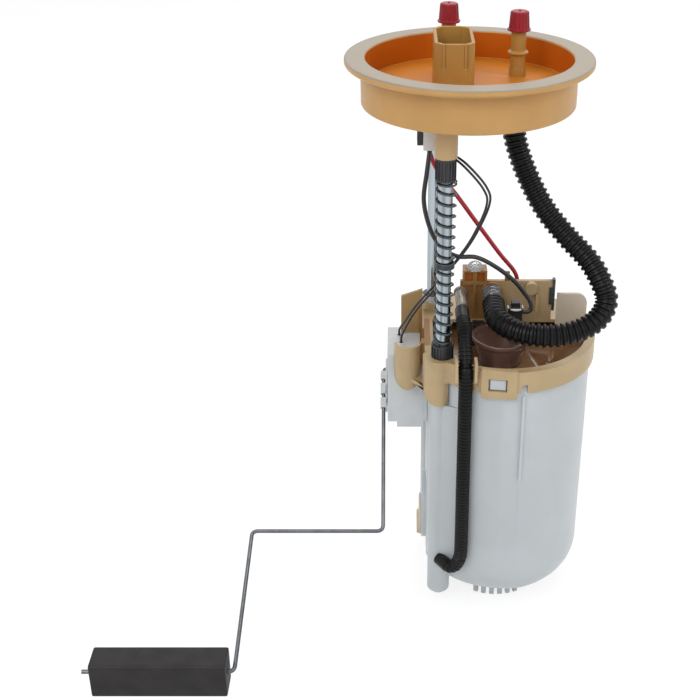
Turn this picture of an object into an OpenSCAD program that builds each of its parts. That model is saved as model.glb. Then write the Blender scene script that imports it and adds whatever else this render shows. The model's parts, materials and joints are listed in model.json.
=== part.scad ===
// Fuel pump module for a plastic tank: a flange with two fuel nipples and a connector, two guide
// rods with a spring, and a reservoir with pump, filter and level sender that slides on the rods.
// Origin: flange axis at the seat plane under the rim. +Z is up, -Y faces the front.

/* [Flange] */
// Outer diameter of the rim that lies on the tank
rim_d = 131; // [124:1:140]
// Thickness of the rim
rim_t = 4; // [3:0.5:6]
// Outer diameter of the cup that fills the tank opening
cup_d = 114; // [108:1:118]
// Wall of the cup
cup_wall = 2.5; // [2:0.25:3.5]
// Depth of the cup's skirt below the seat
cup_depth = 21; // [19:1:25]
// Depth of the cup's floor below the seat
floor_depth = 11; // [8:0.5:12]
// Thickness of the cup's floor
floor_t = 3; // [2.5:0.5:4]
// Number of gussets under the floor
gusset_count = 16; // [8:1:20]

/* [Nipples and connector] */
// Outer diameter of the fuel nipples
nipple_d = 8; // [7.5:0.1:9]
// Bore of the fuel nipples
nipple_bore = 5; // [4:0.25:5.5]
// Height of the nipples above the seat
nipple_top = 23; // [20:0.2:25]
// Centre of the supply nipple from the flange axis, X
supply_x = 26.7; // [24:0.1:30]
// Centre of the supply nipple from the flange axis, Y
supply_y = 15; // [12:0.5:18]
// Centre of the vent nipple from the flange axis, X
vent_x = -9.7; // [-12:0.1:-6]
// Centre of the vent nipple from the flange axis, Y
vent_y = 34; // [33:0.5:38]
// Height of a transport cap
cap_h = 10.7; // [9.5:0.1:12]
// Width of the connector shroud
shroud_w = 20.5; // [18:0.5:24]
// Depth of the connector shroud
shroud_l = 40; // [32:1:41]
// Wall of the connector shroud
shroud_wall = 1.8; // [1.4:0.1:2.4]
// Height of the connector shroud above the seat
shroud_top = 15.2; // [10:0.2:18]

/* [Rods and spring] */
// Diameter of the guide rods
rod_d = 8; // [7:0.5:8.5]
// Place of both rods, X
rod_x = -12.5; // [-13:0.5:-12]
// Distance of the front rod in front of the flange axis
rod_front = 33; // [32.5:0.5:34]
// Distance of the rear rod behind the flange axis
rod_rear = 30; // [29:0.5:31]
// Step of the rear rod to the left of the front rod
rod_step = 3.5; // [2:0.5:4]
// Upward travel of the reservoir on the rods
travel = 45; // [30:1:48]
// Wire diameter of the spring
spring_wire = 1.2; // [1:0.1:1.4]
// Pitch of the spring's open turns
spring_pitch = 6; // [5:0.25:7]

/* [Reservoir] */
// Outer diameter of the reservoir
res_d = 102; // [100:1:104]
// Distance of the reservoir axis to the right of the flange axis
res_x = 24; // [23:0.5:25]
// Distance of the flat left side from the flange axis
res_flat = 20; // [19:0.5:21]
// Wall of the reservoir
res_wall = 2.2; // [1.8:0.1:2.6]
// Depth of the reservoir's rim below the seat
res_top = 158; // [157.5:0.5:159]
// Height of the reservoir from its underside to its rim
res_h = 163; // [160:1:168]
// Radius of the edge round the floor
res_fillet = 27.5; // [20:0.5:30]
// Outer diameter of the guide legs
leg_d = 13.6; // [13:0.2:14]
// Height of the foot ring
foot_h = 8; // [6:0.5:10]
// Number of teeth of the foot ring
foot_teeth = 36; // [24:1:44]

/* [Holder] */
// Height of the band round the reservoir
band_h = 13; // [11:0.5:15]
// Thickness of the band
band_t = 2.1; // [1.6:0.1:2.4]
// Height of the rear wall above the reservoir's rim
wall_h = 27; // [25:1:30]
// Thickness of the rear wall
wall_t = 2.5; // [2:0.25:3]
// Place of the rear wall behind the flange axis
wall_y = 12; // [11:0.5:12.5]
// Height of the two nipples on the rear wall above the rim
port_up = 20; // [19:0.5:21]
// Length of the hose nipple in front of the rear wall
port_l = 14; // [12:0.5:15]
// Length of the return nipple in front of the rear wall
return_l = 24; // [20:0.5:26]
// Place of the hose nipple, X
hose_port_x = 17.5; // [16.5:0.5:18.5]

/* [Pump] */
// Outer diameter of the pump
pump_d = 38; // [36:0.5:38.5]
// Pump axis, X
pump_x = 21; // [20.5:0.5:21.5]
// Pump axis, distance in front of the flange axis
pump_front = 20; // [19.5:0.5:20.5]
// Depth of the top of the pump's steel can below the rim
pump_drop = 16; // [15:0.5:18]
// Length of the pump's steel can
can_len = 84; // [82:1:88]
// Outer diameter of the rubber cover
cover_d = 33; // [30:0.5:34]
// Height of the rubber cover
cover_h = 16.5; // [15:0.5:18]
// Diameter of the armature
armature_d = 26; // [24:0.5:27]
// Diameter of the motor shaft
shaft_d = 3.2; // [3:0.1:4]
// Number of impeller vanes
vane_count = 24; // [16:1:30]

/* [Filter] */
// Diameter of the pleated element
element_d = 38; // [34:0.5:38.5]
// Number of pleats
pleats = 32; // [20:1:40]
// Height of the filter housing above the reservoir's underside
filter_lift = 31; // [29:1:37]

/* [Level sender] */
// Depth of the arm's pivot below the rim
pivot_drop = 40.2; // [39:0.2:42]
// Diameter of the arm wire
arm_wire_d = 2.3; // [2:0.1:2.5]
// Distance of the arm wire to the left of the flange axis
arm_x = 46; // [46:0.2:47]
// Drop of the arm from its pivot to the bend where it turns left
bend_drop = 59.8; // [52:0.2:66]
// Distance of that bend in front of the flange axis
bend_front = 59; // [52:1:62]
// Distance from the flange axis where the arm turns forward
reach_x = 122; // [110:1:130]
// Drop of the arm from that bend to the float's centre
float_drop = 18; // [12:1:28]
// Distance of the float's centre in front of the flange axis
float_front = 155; // [145:1:160]
// Length of the float
float_l = 70; // [60:1:80]
// Width of the float
float_w = 16; // [14:0.5:22]
// Height of the float
float_h = 21; // [18:0.5:26]

/* [Clearances] */
// Radial running clearance of pins and shafts in their bores
run_gap = 0.05; // [0.02:0.01:0.08]
// Gap between pieces that sit in each other without touching
fit_gap = 0.1; // [0.05:0.01:0.2]

/* [Hidden] */
$fn = 64;

amber = [0.83, 0.62, 0.38];
milky = [0.86, 0.88, 0.89];
black = [0.16, 0.16, 0.17];
steel = [0.72, 0.74, 0.76];
brass = [0.80, 0.66, 0.36];

res_bottom = res_top + res_h;
wall_top = res_top - wall_h;
can_top = res_top + pump_drop;
filter_bottom = res_bottom - filter_lift;
pivot_depth = res_top + pivot_drop;
bend_depth = pivot_depth + bend_drop;
float_depth = bend_depth + float_drop;
nipple_r = nipple_d / 2;
rod_y = -rod_front;
rear_x = rod_x - rod_step;
rod_r = rod_d / 2;
floor_under = -floor_depth - floor_t;
socket_r = rod_r + 2;
socket_bottom = floor_under - 26;
rod_top = floor_under - 4;
plug_bottom = floor_under - 26;
seat_bottom = socket_bottom - 12.4;
bush_top = -res_top + 10;
bush_bottom = -res_top - 4;
leg_r = leg_d / 2;
leg_top = -res_top - 8.2;
leg_bottom = -res_bottom - 1;
rod_bottom = leg_bottom + 4 + travel + 2;
res_r = res_d / 2;
res_in_r = res_r - res_wall;
floor_in = -res_bottom + res_wall + 0.3;
band_bottom = -res_top - band_h + 2;
band_top = -res_top + 2;
deck_under = -res_top + fit_gap;
port_z = -res_top + port_up;
port_tip = wall_y - port_l;
return_tip = wall_y - return_l;
pump_y = -pump_front;
pump_r = pump_d / 2;
can_bottom = -can_top - can_len;
well_r = pump_r + 1.2;
filter_top = -res_top - 8;
cover_low = filter_top;
cover_high = filter_top + cover_h;
lid_t = 2;
plate_right = 73;
plate_top = -res_top + 21;
shaft_r = shaft_d / 2;
element_x = 26;
element_y = 23.5;
housing_left = -43.5;
housing_right = -22.6;
housing_front = -17.5;
housing_back = 17.5;
housing_top = -pivot_depth + 34.2;
housing_bottom = -pivot_depth - 14.5;
arm_wall_low = housing_top - 5;
pivot = [housing_left, 0, -pivot_depth];
arm_r = arm_wire_d / 2;
web_x = -arm_x + 1.2;
arm_angle = atan2(bend_front, bend_depth - pivot_depth);
foot_r = 30;
rib_x = res_x + 8.4;
hook_low = -res_top - 9.4;
hook_high = -res_top - 3;
inlet_x = 35;
inlet_y = 11;
jet_r = 20.5;
jet_plate = 2.9;
jet_z = -res_bottom + jet_r + 20;
wire_r = 1.25;
lead_r = 0.65;
deck_x = 33.5;
deck_y = 19;

hose_r = 6.2;
hose_start = floor_under - 20;
hose_points = [[supply_x, supply_y, hose_start], [27, 15, -44], [31, 12, -57], [37, 8, -70],
    [45, 2, -83], [56, -5, -95], [69, -14, -107], [76, -22, -118], [78, -26, port_z + 12],
    [74, -31, port_z + 5], [65, -35, port_z], [52, -37, port_z - 3], [38, -37, port_z - 3],
    [27, -33, port_z - 2], [hose_port_x + 2, -25, port_z - 0.6], [hose_port_x, -16, port_z],
    [hose_port_x, port_tip - 1, port_z]];
tube_r = 3.9;
tube_x = 0;
tube_front = 50.6;
tube_low = -res_bottom + 45;
tube_points = [[-1, return_tip - 0.1, port_z], [-1, -18, port_z - 0.4], [-0.5, -30, port_z - 2],
    [-0.3, -40, port_z - 6.5], [0, -48.2, port_z - 16], [tube_x, -tube_front, port_z - 28],
    [tube_x, -tube_front, -230], [tube_x, -tube_front, tube_low],
    [-0.8, -50.4, tube_low - 8.5], [-3, -49.8, tube_low - 14], [-6.2, -48.2, tube_low - 16.5],
    [-8, -46, tube_low - 16.8]];
black_points = [[-20.6, -16, plug_bottom - 0.1], [-20.6, -16, plug_bottom - 3], [-22, -20, -53],
    [-23.5, -22, -68], [-20, -21.5, -84], [-14, -21, -95], [-5, -18, -102], [6, -15, -104],
    [17, -12, -111], [28, -9, -121], [35, -8, -130], [38, -8.6, cover_high + 15],
    [38.6, -9.6, cover_high + 11.5], [37, -10, cover_high + 9.5], [33.5, -10, cover_high + 9.5]];
red_points = [[-21, -10, plug_bottom - 0.1], [-21, -10, plug_bottom - 3], [-16.5, -11, -54],
    [-3.7, -13, -71], [8.3, -3, -91], [21, 8, -112], [31.1, 16.5, -127.7], [deck_x, 18.6, -139],
    [deck_x, deck_y, -149], [deck_x, deck_y, band_top + 0.1]];
lead_ends = [[-35.4, -1.5], [-36.5, 7.7]];
lead_start = [[-18.6, -5.8, plug_bottom - 0.1], [-18.6, -5.8, plug_bottom - 2], [-12, -13, -44.5],
    [-3, -20, -49], [8, -21.5, -61.5], [10, -22, -71], [3, -22.7, -88.6], [-6, -23, -103.1]];
lead_finish = [
    [[-17.5, -19.5, -121.9], [-24.9, -13, -134.6], [-31, -7.5, -147.2],
        [-35.2, -2, housing_top + 4]],
    [[-18.9, -16, -123], [-27.1, -8, -137.1], [-32.8, -1, -149.9], [-36.4, 7.2, housing_top + 4]]];

// Point on a smooth curve through four neighbouring route points, at share t between the middle two
function spline_point(a, b, c, d, t) =
    0.5 * (2 * b + (c - a) * t + (2 * a - 5 * b + 4 * c - d) * t * t + (3 * b - a - 3 * c + d) * t * t * t);

// Route points with extra points on the smooth curve between them
function smooth_route(p, extra) = [for (i = [0:len(p) - 2]) for (k = [0:extra])
    spline_point(p[max(i - 1, 0)], p[i], p[i + 1], p[min(i + 2, len(p) - 1)], k / (extra + 1)),
    p[len(p) - 1]];

function unit(v) = v / norm(v);
function route_direction(p, i) = unit(p[min(i + 1, len(p) - 1)] - p[max(i - 1, 0)]);

// Round tube along a route; ref is a direction that the route never runs along
module tube_along(route, r, sides, ref) {
    rings = [for (i = [0:len(route) - 1])
        let (d = route_direction(route, i), u = unit(cross(d, ref)), w = cross(d, u))
        [for (k = [0:sides - 1]) route[i] + r * (cos(360 * k / sides) * u + sin(360 * k / sides) * w)]];
    last = len(route) - 1;
    polyhedron(
        points = [for (ring = rings) for (q = ring) q],
        faces = concat(
            [[for (k = [0:sides - 1]) k]],
            [for (i = [0:last - 1]) for (k = [0:sides - 1]) let (n = (k + 1) % sides)
                [i * sides + n, i * sides + k, (i + 1) * sides + k]],
            [for (i = [0:last - 1]) for (k = [0:sides - 1]) let (n = (k + 1) % sides)
                [i * sides + n, (i + 1) * sides + k, (i + 1) * sides + n]],
            [[for (k = [sides - 1:-1:0]) last * sides + k]]),
        convexity = 8);
}

// Straight tube between two heights
module ring(r_out, r_in, z_low, z_high) {
    translate([0, 0, z_low]) difference() {
        cylinder(r = r_out, h = z_high - z_low);
        translate([0, 0, -1]) cylinder(r = r_in, h = z_high - z_low + 2);
    }
}

// Round bar between two heights
module bar(r, z_low, z_high) {
    translate([0, 0, z_low]) cylinder(r = r, h = z_high - z_low);
}

// Box from its low corner to its high corner
module block(low, high) {
    translate(low) cube(high - low);
}

// Plan of the reservoir: a circle with a flat left side, grown by d
module res_plan(d) {
    intersection() {
        translate([res_x, 0]) circle(r = res_r + d, $fn = 128);
        translate([-res_flat - d, -res_d]) square([2 * res_d, 2 * res_d]);
    }
}

// Front of the reservoir's round side at a place along X
function res_front(x) = -sqrt(res_r * res_r - (res_x - x) * (res_x - x));

// Rectangle with four cut corners
module cut_rect(w, l, c) {
    polygon([[-w / 2 + c, -l / 2], [w / 2 - c, -l / 2], [w / 2, -l / 2 + c], [w / 2, l / 2 - c],
        [w / 2 - c, l / 2], [-w / 2 + c, l / 2], [-w / 2, l / 2 - c], [-w / 2, -l / 2 + c]]);
}

// Places of the two fuel nipples
module at_nipples() {
    for (p = [[supply_x, supply_y], [vent_x, vent_y]]) translate([p[0], p[1], 0]) children();
}

// Places of the two guide rods
module at_front_rod() translate([rod_x, rod_y, 0]) children();
module at_rear_rod() translate([rear_x, rod_rear, 0]) children();

shroud_x = -8.5;
shroud_y = -2;
terminal_rows = 5;

module flange() {
    cup_r = cup_d / 2;
    rim_r = rim_d / 2;
    chamfer = 1.2;
    color(amber) difference() {
        union() {
            rotate_extrude($fn = 180) polygon([
                [0, -floor_depth], [cup_r - cup_wall, -floor_depth], [cup_r - cup_wall, rim_t - 0.6],
                [cup_r - cup_wall + 0.6, rim_t], [rim_r - 0.6, rim_t], [rim_r, rim_t - 0.6],
                [rim_r, chamfer], [rim_r - chamfer, 0], [cup_r, 0], [cup_r, 0.8 - cup_depth],
                [cup_r - 0.8, -cup_depth], [cup_r - cup_wall, -cup_depth],
                [cup_r - cup_wall, floor_under], [0, floor_under]]);
            for (i = [0:gusset_count - 1]) rotate([0, 0, (i + 0.5) * 360 / gusset_count])
                block([cup_r - cup_wall - 8, -0.8, floor_under - 5],
                      [cup_r - cup_wall / 2, 0.8, floor_under + 0.5]);
            // Connector shroud with its key rib
            translate([shroud_x, shroud_y, -floor_depth - 1])
                linear_extrude(shroud_top + floor_depth + 1) cut_rect(shroud_w, shroud_l, 4);
            // Fuel nipples with bead and foot
            at_nipples() {
                bar(nipple_r, floor_under, nipple_top - 0.8);
                translate([0, 0, nipple_top - 0.8])
                    cylinder(r1 = nipple_r, r2 = nipple_r - 0.8, h = 0.8);
                translate([0, 0, 2]) rotate_extrude() translate([nipple_r, 0])
                    polygon([[-1, -1], [0.5, -1], [1.6, -0.4], [1.6, 0.4], [0.5, 1], [-1, 1]]);
                bar(nipple_r + 0.5, -floor_depth - 1, -floor_depth + 5);
            }
            // Hose barb below the floor
            translate([supply_x, supply_y, 0]) bar(nipple_r, hose_start + 1, floor_under + 1);
            // Rod sockets
            at_front_rod() bar(socket_r, socket_bottom, floor_under + 1);
            at_rear_rod() bar(socket_r, socket_bottom, floor_under + 1);
            // Boss that carries the plug under the floor
            block([-25, -24, floor_under - 4], [-15.8, -2, floor_under + 1]);
        }
        translate([shroud_x, shroud_y, -floor_depth])
            linear_extrude(shroud_top + floor_depth + 2)
                cut_rect(shroud_w - 2 * shroud_wall, shroud_l - 2 * shroud_wall, 3.2);
        // Guide grooves down the shroud's faces
        for (x = [-5.6, 5.6]) for (y = [-1, 1])
            translate([shroud_x + x, shroud_y + y * (shroud_l / 2 + 0.6), shroud_top / 2 + 2.5])
                cube([1.8, 2.4, shroud_top - 1], center = true);
        at_nipples() bar(nipple_bore / 2, hose_start - 2, nipple_top + 1);
        at_front_rod() bar(rod_r, socket_bottom - 1, rod_top);
        at_rear_rod() bar(rod_r, socket_bottom - 1, rod_top);
        terminals(0);
    }
}

// Flat blades through the floor
module terminals(grow) {
    for (i = [0:terminal_rows - 1])
        translate([shroud_x, shroud_y + (i - (terminal_rows - 1) / 2) * 6.2, -6.5])
            cube([2.8 + grow, 0.8 + grow, 17], center = true);
}

module connector_terminals() {
    color(brass) terminals(0);
}

module transport_caps() {
    top = nipple_top + 1.3;
    base = top - cap_h;
    foot = nipple_r + 1.2;
    crown = nipple_r + 0.5;
    ribs = 16;
    color([0.74, 0.13, 0.17]) at_nipples() difference() {
        union() {
            translate([0, 0, base]) cylinder(r = nipple_r + 2.2, h = 0.9);
            translate([0, 0, base]) cylinder(r1 = foot, r2 = crown, h = cap_h - 0.6);
            translate([0, 0, top - 0.7]) cylinder(r1 = 0.9, r2 = 0.4, h = 0.7);
            for (i = [0:ribs - 1]) rotate([0, 0, i * 360 / ribs])
                block([nipple_r + 0.3, -0.3, base + 0.5], [foot - 0.1, 0.3, top - 1.4]);
        }
        bar(nipple_r + 0.02, base - 1, nipple_top + 0.02);
    }
}

module under_plug() {
    color([0.88, 0.88, 0.87]) difference() {
        block([-24, -23, plug_bottom], [-16.8, -3, floor_under - 4]);
        block([-24.6, -19, plug_bottom + 1], [-23.2, -7, plug_bottom + 15]);
        for (y = [-20, -6]) block([-17.6, y - 1, plug_bottom - 1], [-16.7, y + 1, plug_bottom + 12]);
    }
}

module plug_lock() {
    color(black) union() {
        block([-27.2, -18.9, plug_bottom + 1.5], [-24.02, -7.1, plug_bottom + 15]);
        block([-24.1, -18.9, plug_bottom + 3.5], [-23.22, -7.1, plug_bottom + 12.5]);
    }
}

module guide_rod(top, bottom) {
    bar(rod_r, bottom + 1, top);
    translate([0, 0, bottom]) cylinder(r1 = rod_r - 1, r2 = rod_r, h = 1);
}

module guide_rod_front() {
    color(steel) at_front_rod() guide_rod(rod_top, rod_bottom);
}

module guide_rod_rear() {
    color(steel) at_rear_rod() guide_rod(rod_top, rod_bottom);
}

// Ribbed collar: a ring with ribs round it
module ribbed_ring(r_out, r_in, z_low, z_high, count) {
    difference() {
        union() {
            bar(r_out - 0.5, z_low, z_high);
            bar(r_out, z_low, z_low + 1.2);
            bar(r_out, z_high - 1.2, z_high);
            for (i = [0:count - 1]) rotate([0, 0, i * 360 / count])
                block([r_out - 1.2, -0.45, z_low], [r_out, 0.45, z_high]);
        }
        bar(r_in, z_low - 1, z_high + 1);
    }
}

module spring_seat() {
    color(black) at_front_rod() ribbed_ring(5.4, rod_r, seat_bottom, socket_bottom, 18);
}

// Spring: closed turns at both ends and in the middle, open turns between
spring_mean = rod_r + 1.4;
spring_high = seat_bottom - spring_wire / 2 - 0.1;
spring_low = bush_top + spring_wire / 2 + 0.1;
spring_mid = (spring_high + spring_low) / 2 - 0.3;
closed_pitch = spring_wire + 0.12;
open_turns = (spring_high - spring_low - 5 * closed_pitch) / spring_pitch;
spring_turns = open_turns + 5;
// Height lost after t turns: closed turns lose closed_pitch each, open turns spring_pitch
function spring_drop(t) =
    min(t, 1) * closed_pitch
    + min(max(t - 1, 0), open_turns / 2) * spring_pitch
    + min(max(t - 1 - open_turns / 2, 0), 3) * closed_pitch
    + min(max(t - 4 - open_turns / 2, 0), open_turns / 2) * spring_pitch
    + max(t - 4 - open_turns, 0) * closed_pitch;

module spring_front() {
    steps = 12;
    route = [for (i = [0:floor(spring_turns * steps)]) let (a = i * 360 / steps)
        [spring_mean * cos(a), spring_mean * sin(a), spring_high - spring_drop(i / steps)]];
    color(black) at_front_rod() tube_along(route, spring_wire / 2, 6, [0, 0, 1]);
}

module supply_hose() {
    color(black) union() {
        tube_along(smooth_route(hose_points, 1), hose_r, 12, [0.7, 0.7, -0.3]);
        translate([supply_x, supply_y, 0])
            ring(hose_r, nipple_r + fit_gap, hose_start, floor_under - 2);
        translate([hose_port_x, 0, port_z]) rotate([90, 0, 0])
            ring(hose_r, nipple_r + fit_gap, -wall_y + 1.5, -port_tip + 1);
    }
}

module pump_wire_black() {
    color(black) tube_along(smooth_route(black_points, 0), wire_r, 8, [0.2, 1, 0]);
}

module pump_wire_red() {
    color([0.75, 0.15, 0.2]) tube_along(smooth_route(red_points, 0), wire_r, 8, [0.9, -0.5, 0.1]);
}

module sender_wires() {
    color(black) for (s = [0, 1]) tube_along(
        concat([for (p = lead_start) p + s * [1.1, 1.4, 0]], lead_finish[s],
            [[lead_ends[s][0], lead_ends[s][1], housing_top - 1.5]]),
        lead_r, 8, [0.2, 1, 0]);
}

// Outer or inner form of the reservoir: its plan with a rounded floor edge and a cut left corner
module res_form(d, z_low, z_high) {
    fillet = res_fillet + d;
    r = res_r + d;
    steps = 8;
    intersection() {
        translate([res_x, 0, 0]) rotate_extrude($fn = 128) polygon(concat(
            [[0, z_high], [0, z_low]],
            [for (i = [0:steps]) let (a = i * 90 / steps)
                [r - fillet + fillet * sin(a), z_low + fillet - fillet * cos(a)]],
            [[r, z_high]]));
        rotate([90, 0, 0]) linear_extrude(4 * r, center = true) polygon([
            [-res_flat - d, z_high + 1], [-res_flat - d, z_low + 18], [-res_flat - d + 17, z_low - 1],
            [2 * res_d, z_low - 1], [2 * res_d, z_high + 1]]);
    }
}

module leg(top) {
    bar(leg_r, leg_bottom + 3, top);
    translate([0, 0, leg_bottom]) cylinder(r1 = leg_r - 3, r2 = leg_r, h = 3);
}

tube_route = smooth_route(tube_points, 1);
stub_dir = route_direction(tube_route, len(tube_route) - 1);
stub_start = tube_route[len(tube_route) - 1] + 0.1 * stub_dir;

// Plan of the webs that close the creases on both sides of the front leg
module leg_webs() {
    web_end = rod_x + 10.5;
    polygon([[-res_flat, rod_y + 9], [-res_flat + 2, rod_y + 9], [-res_flat + 2, rod_y + 6.5],
        [rod_x, rod_y], [rod_x - leg_r, rod_y]]);
    polygon([[rod_x, rod_y - leg_r], [web_end, res_front(web_end)],
        [web_end, res_front(web_end) + 1.8], [rod_x, rod_y - 2]]);
}

module reservoir() {
    hook_angle = -98;
    web_low = -res_bottom + 26;
    web_high = -res_top - 26.4;
    color(milky) difference() {
        union() {
            difference() {
                res_form(0, -res_bottom, -res_top);
                res_form(-res_wall, floor_in, -res_top + 2);
            }
            at_front_rod() leg(leg_top);
            at_rear_rod() leg(-res_top + 11);
            translate([0, 0, web_low]) linear_extrude(web_high - web_low) leg_webs();
            // Stiffening rib, snap hook in the band's window and castellated foot ring
            block([rib_x - 0.75, -res_r - 0.9, -res_top - 70], [rib_x + 0.75, -res_r + 2.1, -res_top - 14]);
            translate([res_x, 0, 0]) rotate([0, 0, hook_angle])
                block([res_r - 1, -3.4, hook_low], [res_r + 1.6, 5.4, hook_high]);
            translate([res_x, 0, 0]) difference() {
                ring(foot_r, foot_r - 2.4, -res_bottom - foot_h, -res_bottom + 2);
                for (i = [0:foot_teeth - 1]) rotate([0, 0, i * 360 / foot_teeth])
                    block([foot_r - 4, -1.1, -res_bottom - foot_h - 1],
                          [foot_r + 1, 1.1, -res_bottom - 1.6]);
            }
            // Stub for the jet tube, and the plate that carries the jet pump
            translate(stub_start) rotate([0, acos(stub_dir[2]), atan2(stub_dir[1], stub_dir[0])])
                cylinder(r = tube_r - 0.8, h = 8);
            translate([-res_flat - jet_plate, 0, jet_z]) rotate([0, 90, 0])
                cylinder(r = jet_r, h = jet_plate + 0.4);
        }
        at_front_rod() bar(rod_r + 1, leg_bottom + 3, leg_top + 1);
        at_rear_rod() bar(rod_r + 1, leg_bottom + 3, -res_top + 12);
        at_rear_rod() bar(rod_r + 2, -res_top - 3, -res_top + 12);
        at_front_rod() bar(6.3, leg_top, -res_top + 1);
        // Inlet holes under the foot valve
        translate([inlet_x, inlet_y, 0]) for (i = [0:5]) rotate([0, 0, i * 60]) translate([4.5, 0, 0])
            bar(1.4, -res_bottom - 2, floor_in + 1);
        translate([inlet_x, inlet_y, 0]) bar(1.6, -res_bottom - 2, floor_in + 1);
    }
}

module slide_bush_front() {
    color(black) at_front_rod() union() {
        ribbed_ring(6.1, rod_r + run_gap, bush_bottom + 4, bush_top, 20);
        ring(5.6, rod_r + run_gap, bush_bottom - 3.9, bush_bottom + 4.5);
    }
}

module slide_bush_rear() {
    color(black) at_rear_rod() ring(rod_r + 2 - 0.02, rod_r + run_gap, -res_top - 3, -res_top + 11);
}

// Half tube whose lower edge is round when seen from the front
module apron(r_out, z_low, z_high) {
    intersection() {
        bar(r_out, z_low, z_high);
        union() {
            translate([0, 2 * r_out, z_low + r_out]) rotate([90, 0, 0]) cylinder(r = r_out, h = 4 * r_out);
            block([-r_out - 1, -2 * r_out, z_low + r_out], [r_out + 1, 2 * r_out, z_high + 1]);
        }
    }
}

shell_x = -31.8;
shell_y = housing_front - 1.5;
sleeve_r = leg_r + 0.9;

module holder() {
    tab_angle = -98;
    post_x = tube_r + 0.6;
    roof = housing_top + 8.5;
    side = -res_flat - band_t;
    color(amber) difference() {
        union() {
            // Band round the reservoir, with a lip over its rim
            translate([0, 0, band_bottom]) linear_extrude(band_h) res_plan(fit_gap + band_t);
            translate([res_x, 0, 0]) rotate([0, 0, tab_angle])
                block([res_r, -8.2, band_bottom - 3.4], [res_r + band_t + 0.5, 11.5, band_top + 1.2]);
            // Sockets for the two guides
            at_front_rod() apron(sleeve_r, -res_top - 26, band_top);
            at_rear_rod() bar(sleeve_r, band_bottom, band_top + 5);
            // Rear wall with ribs, feet and valve block
            block([-1, wall_y, deck_under], [53, wall_y + wall_t, -wall_top]);
            for (x = [6, 22, 36, 50]) block([x - 0.8, wall_y + wall_t - 0.5, deck_under],
                [x + 0.8, wall_y + wall_t + 4, -wall_top - 6]);
            block([0.5, wall_y - 1.4, -wall_top - 2], [14.5, 20, -wall_top + 7]);
            block([6.8, wall_y - 1.6, deck_under], [8, wall_y + 1, -wall_top]);
            translate([40.5, wall_y + 1, -wall_top - 3.5]) rotate([90, 0, 0]) cylinder(r = 3.6, h = 5);
            block([43.2, wall_y - 3.4, deck_under], [44.8, wall_y + 0.5, -wall_top - 8]);
            translate([deck_x, deck_y, 0]) bar(wire_r + 1.8, band_top - 0.5, band_top + 4.5);
            // Nipple on the wall
            translate([hose_port_x, wall_y + 1, port_z]) rotate([90, 0, 0])
                cylinder(r = nipple_r, h = port_l + 1);
            translate([hose_port_x, wall_y + 0.5, port_z]) rotate([90, 0, 0]) cylinder(r = 6.6, h = 1.8);
            // Clip for the jet tube
            for (x = [-post_x - 1.6, post_x]) block([x, -54, band_top - 6], [x + 1.6, -46, band_top + 6]);
            // Wall beside the sender with its slanted plate, and the cable guard in front
            block([arm_wall_x, -14, arm_wall_low], [side, 12, housing_top + 2]);
            block([arm_wall_x, shell_y, arm_wall_low], [side, -13, roof]);
            block([arm_wall_x - 1.4, shell_y - 0.4, arm_wall_low], [side, shell_y + 1.2, roof]);
            translate([0, 12, 0]) rotate([90, 0, 0]) linear_extrude(2)
                polygon([[-35.5, housing_top + 0.3], [-23, housing_top + 0.3],
                    [-23, housing_top + 28.5], [-35.5, housing_top + 24]]);
            translate([shell_x, shell_y, 0]) difference() {
                apron(7.8, housing_top - 18, housing_top + 9);
                bar(6.2, housing_top - 26, housing_top + 10);
                block([-10, 0, housing_top - 26], [10, 10, housing_top + 10]);
            }
            translate([0, 0, housing_top - 13]) linear_extrude(2.5)
                polygon([[-30, -26.4], [-24.6, -21], [-20.6, -27.2], [-19.2, -31], [-20, -36]]);
        }
        // Room for the reservoir, open top at the front, deck at the rear
        translate([0, 0, band_bottom - 20]) linear_extrude(band_h + 18 + fit_gap) res_plan(fit_gap);
        translate([0, 0, -res_top - 12]) linear_extrude(20) intersection() {
            res_plan(-3);
            translate([-30, -60]) square([120, 60 + wall_y - 0.01]);
        }
        at_front_rod() bar(leg_r + fit_gap, -res_top - 42, leg_top + fit_gap);
        at_front_rod() bar(6.1, bush_bottom, band_top + 1);
        at_front_rod() bar(5.6 + fit_gap, leg_top - 1, band_top + 1);
        at_rear_rod() bar(leg_r + fit_gap, -res_top - 42, 0);
        translate([res_x, 0, 0]) rotate([0, 0, tab_angle])
            block([res_r - 4, -4.2, hook_low - 0.6], [res_r + 6, 6.2, hook_high + 0.7]);
        block([rib_x - 1.7, -res_r - 4, band_bottom - 1], [rib_x + 1.7, -res_r + 3, band_bottom + 5]);
        at_clip_space();
        // Windows of the valve block, bore for the red wire, slot for the lid's hook, nipple bores
        for (x = [1.7, 8.6])
            block([x, 8, -wall_top + 0.5], [x + 4.6, wall_y + 0.2, -wall_top + 6]);
        translate([deck_x, deck_y, 0]) bar(wire_r + 0.2, band_top, band_top + 6);
        block([24.4, wall_y + wall_t + fit_gap, -res_top - 12], [28.6, wall_y + wall_t + 2.2, -res_top + 8]);
        translate([hose_port_x, 30, port_z]) rotate([90, 0, 0]) cylinder(r = nipple_bore / 2, h = 60);
        translate([-1, 30, port_z]) rotate([90, 0, 0]) cylinder(r = 1.6, h = 60);
    }
}

// Space that the jet tube takes at the band
module at_clip_space() {
    half = tube_r + 0.5;
    translate([tube_x, -tube_front, -res_top - 62]) cylinder(r = tube_r + 0.3, h = 70);
    block([-half, -60, -res_top - 2], [half, -tube_front, -res_top + 18]);
    block([-half, -tube_front, -res_top + 6], [half, -44, -res_top + 18]);
}

module valve_dome() {
    color([0.75, 0.78, 0.8]) translate([7.5, 14.5, -wall_top + 7]) rotate_extrude() polygon(concat(
        [[0, 0], [5, 0], [5, 0.8]], [for (a = [0:15:90]) [4.6 * cos(a), 0.8 + 3.6 * sin(a)]]));
}

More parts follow.
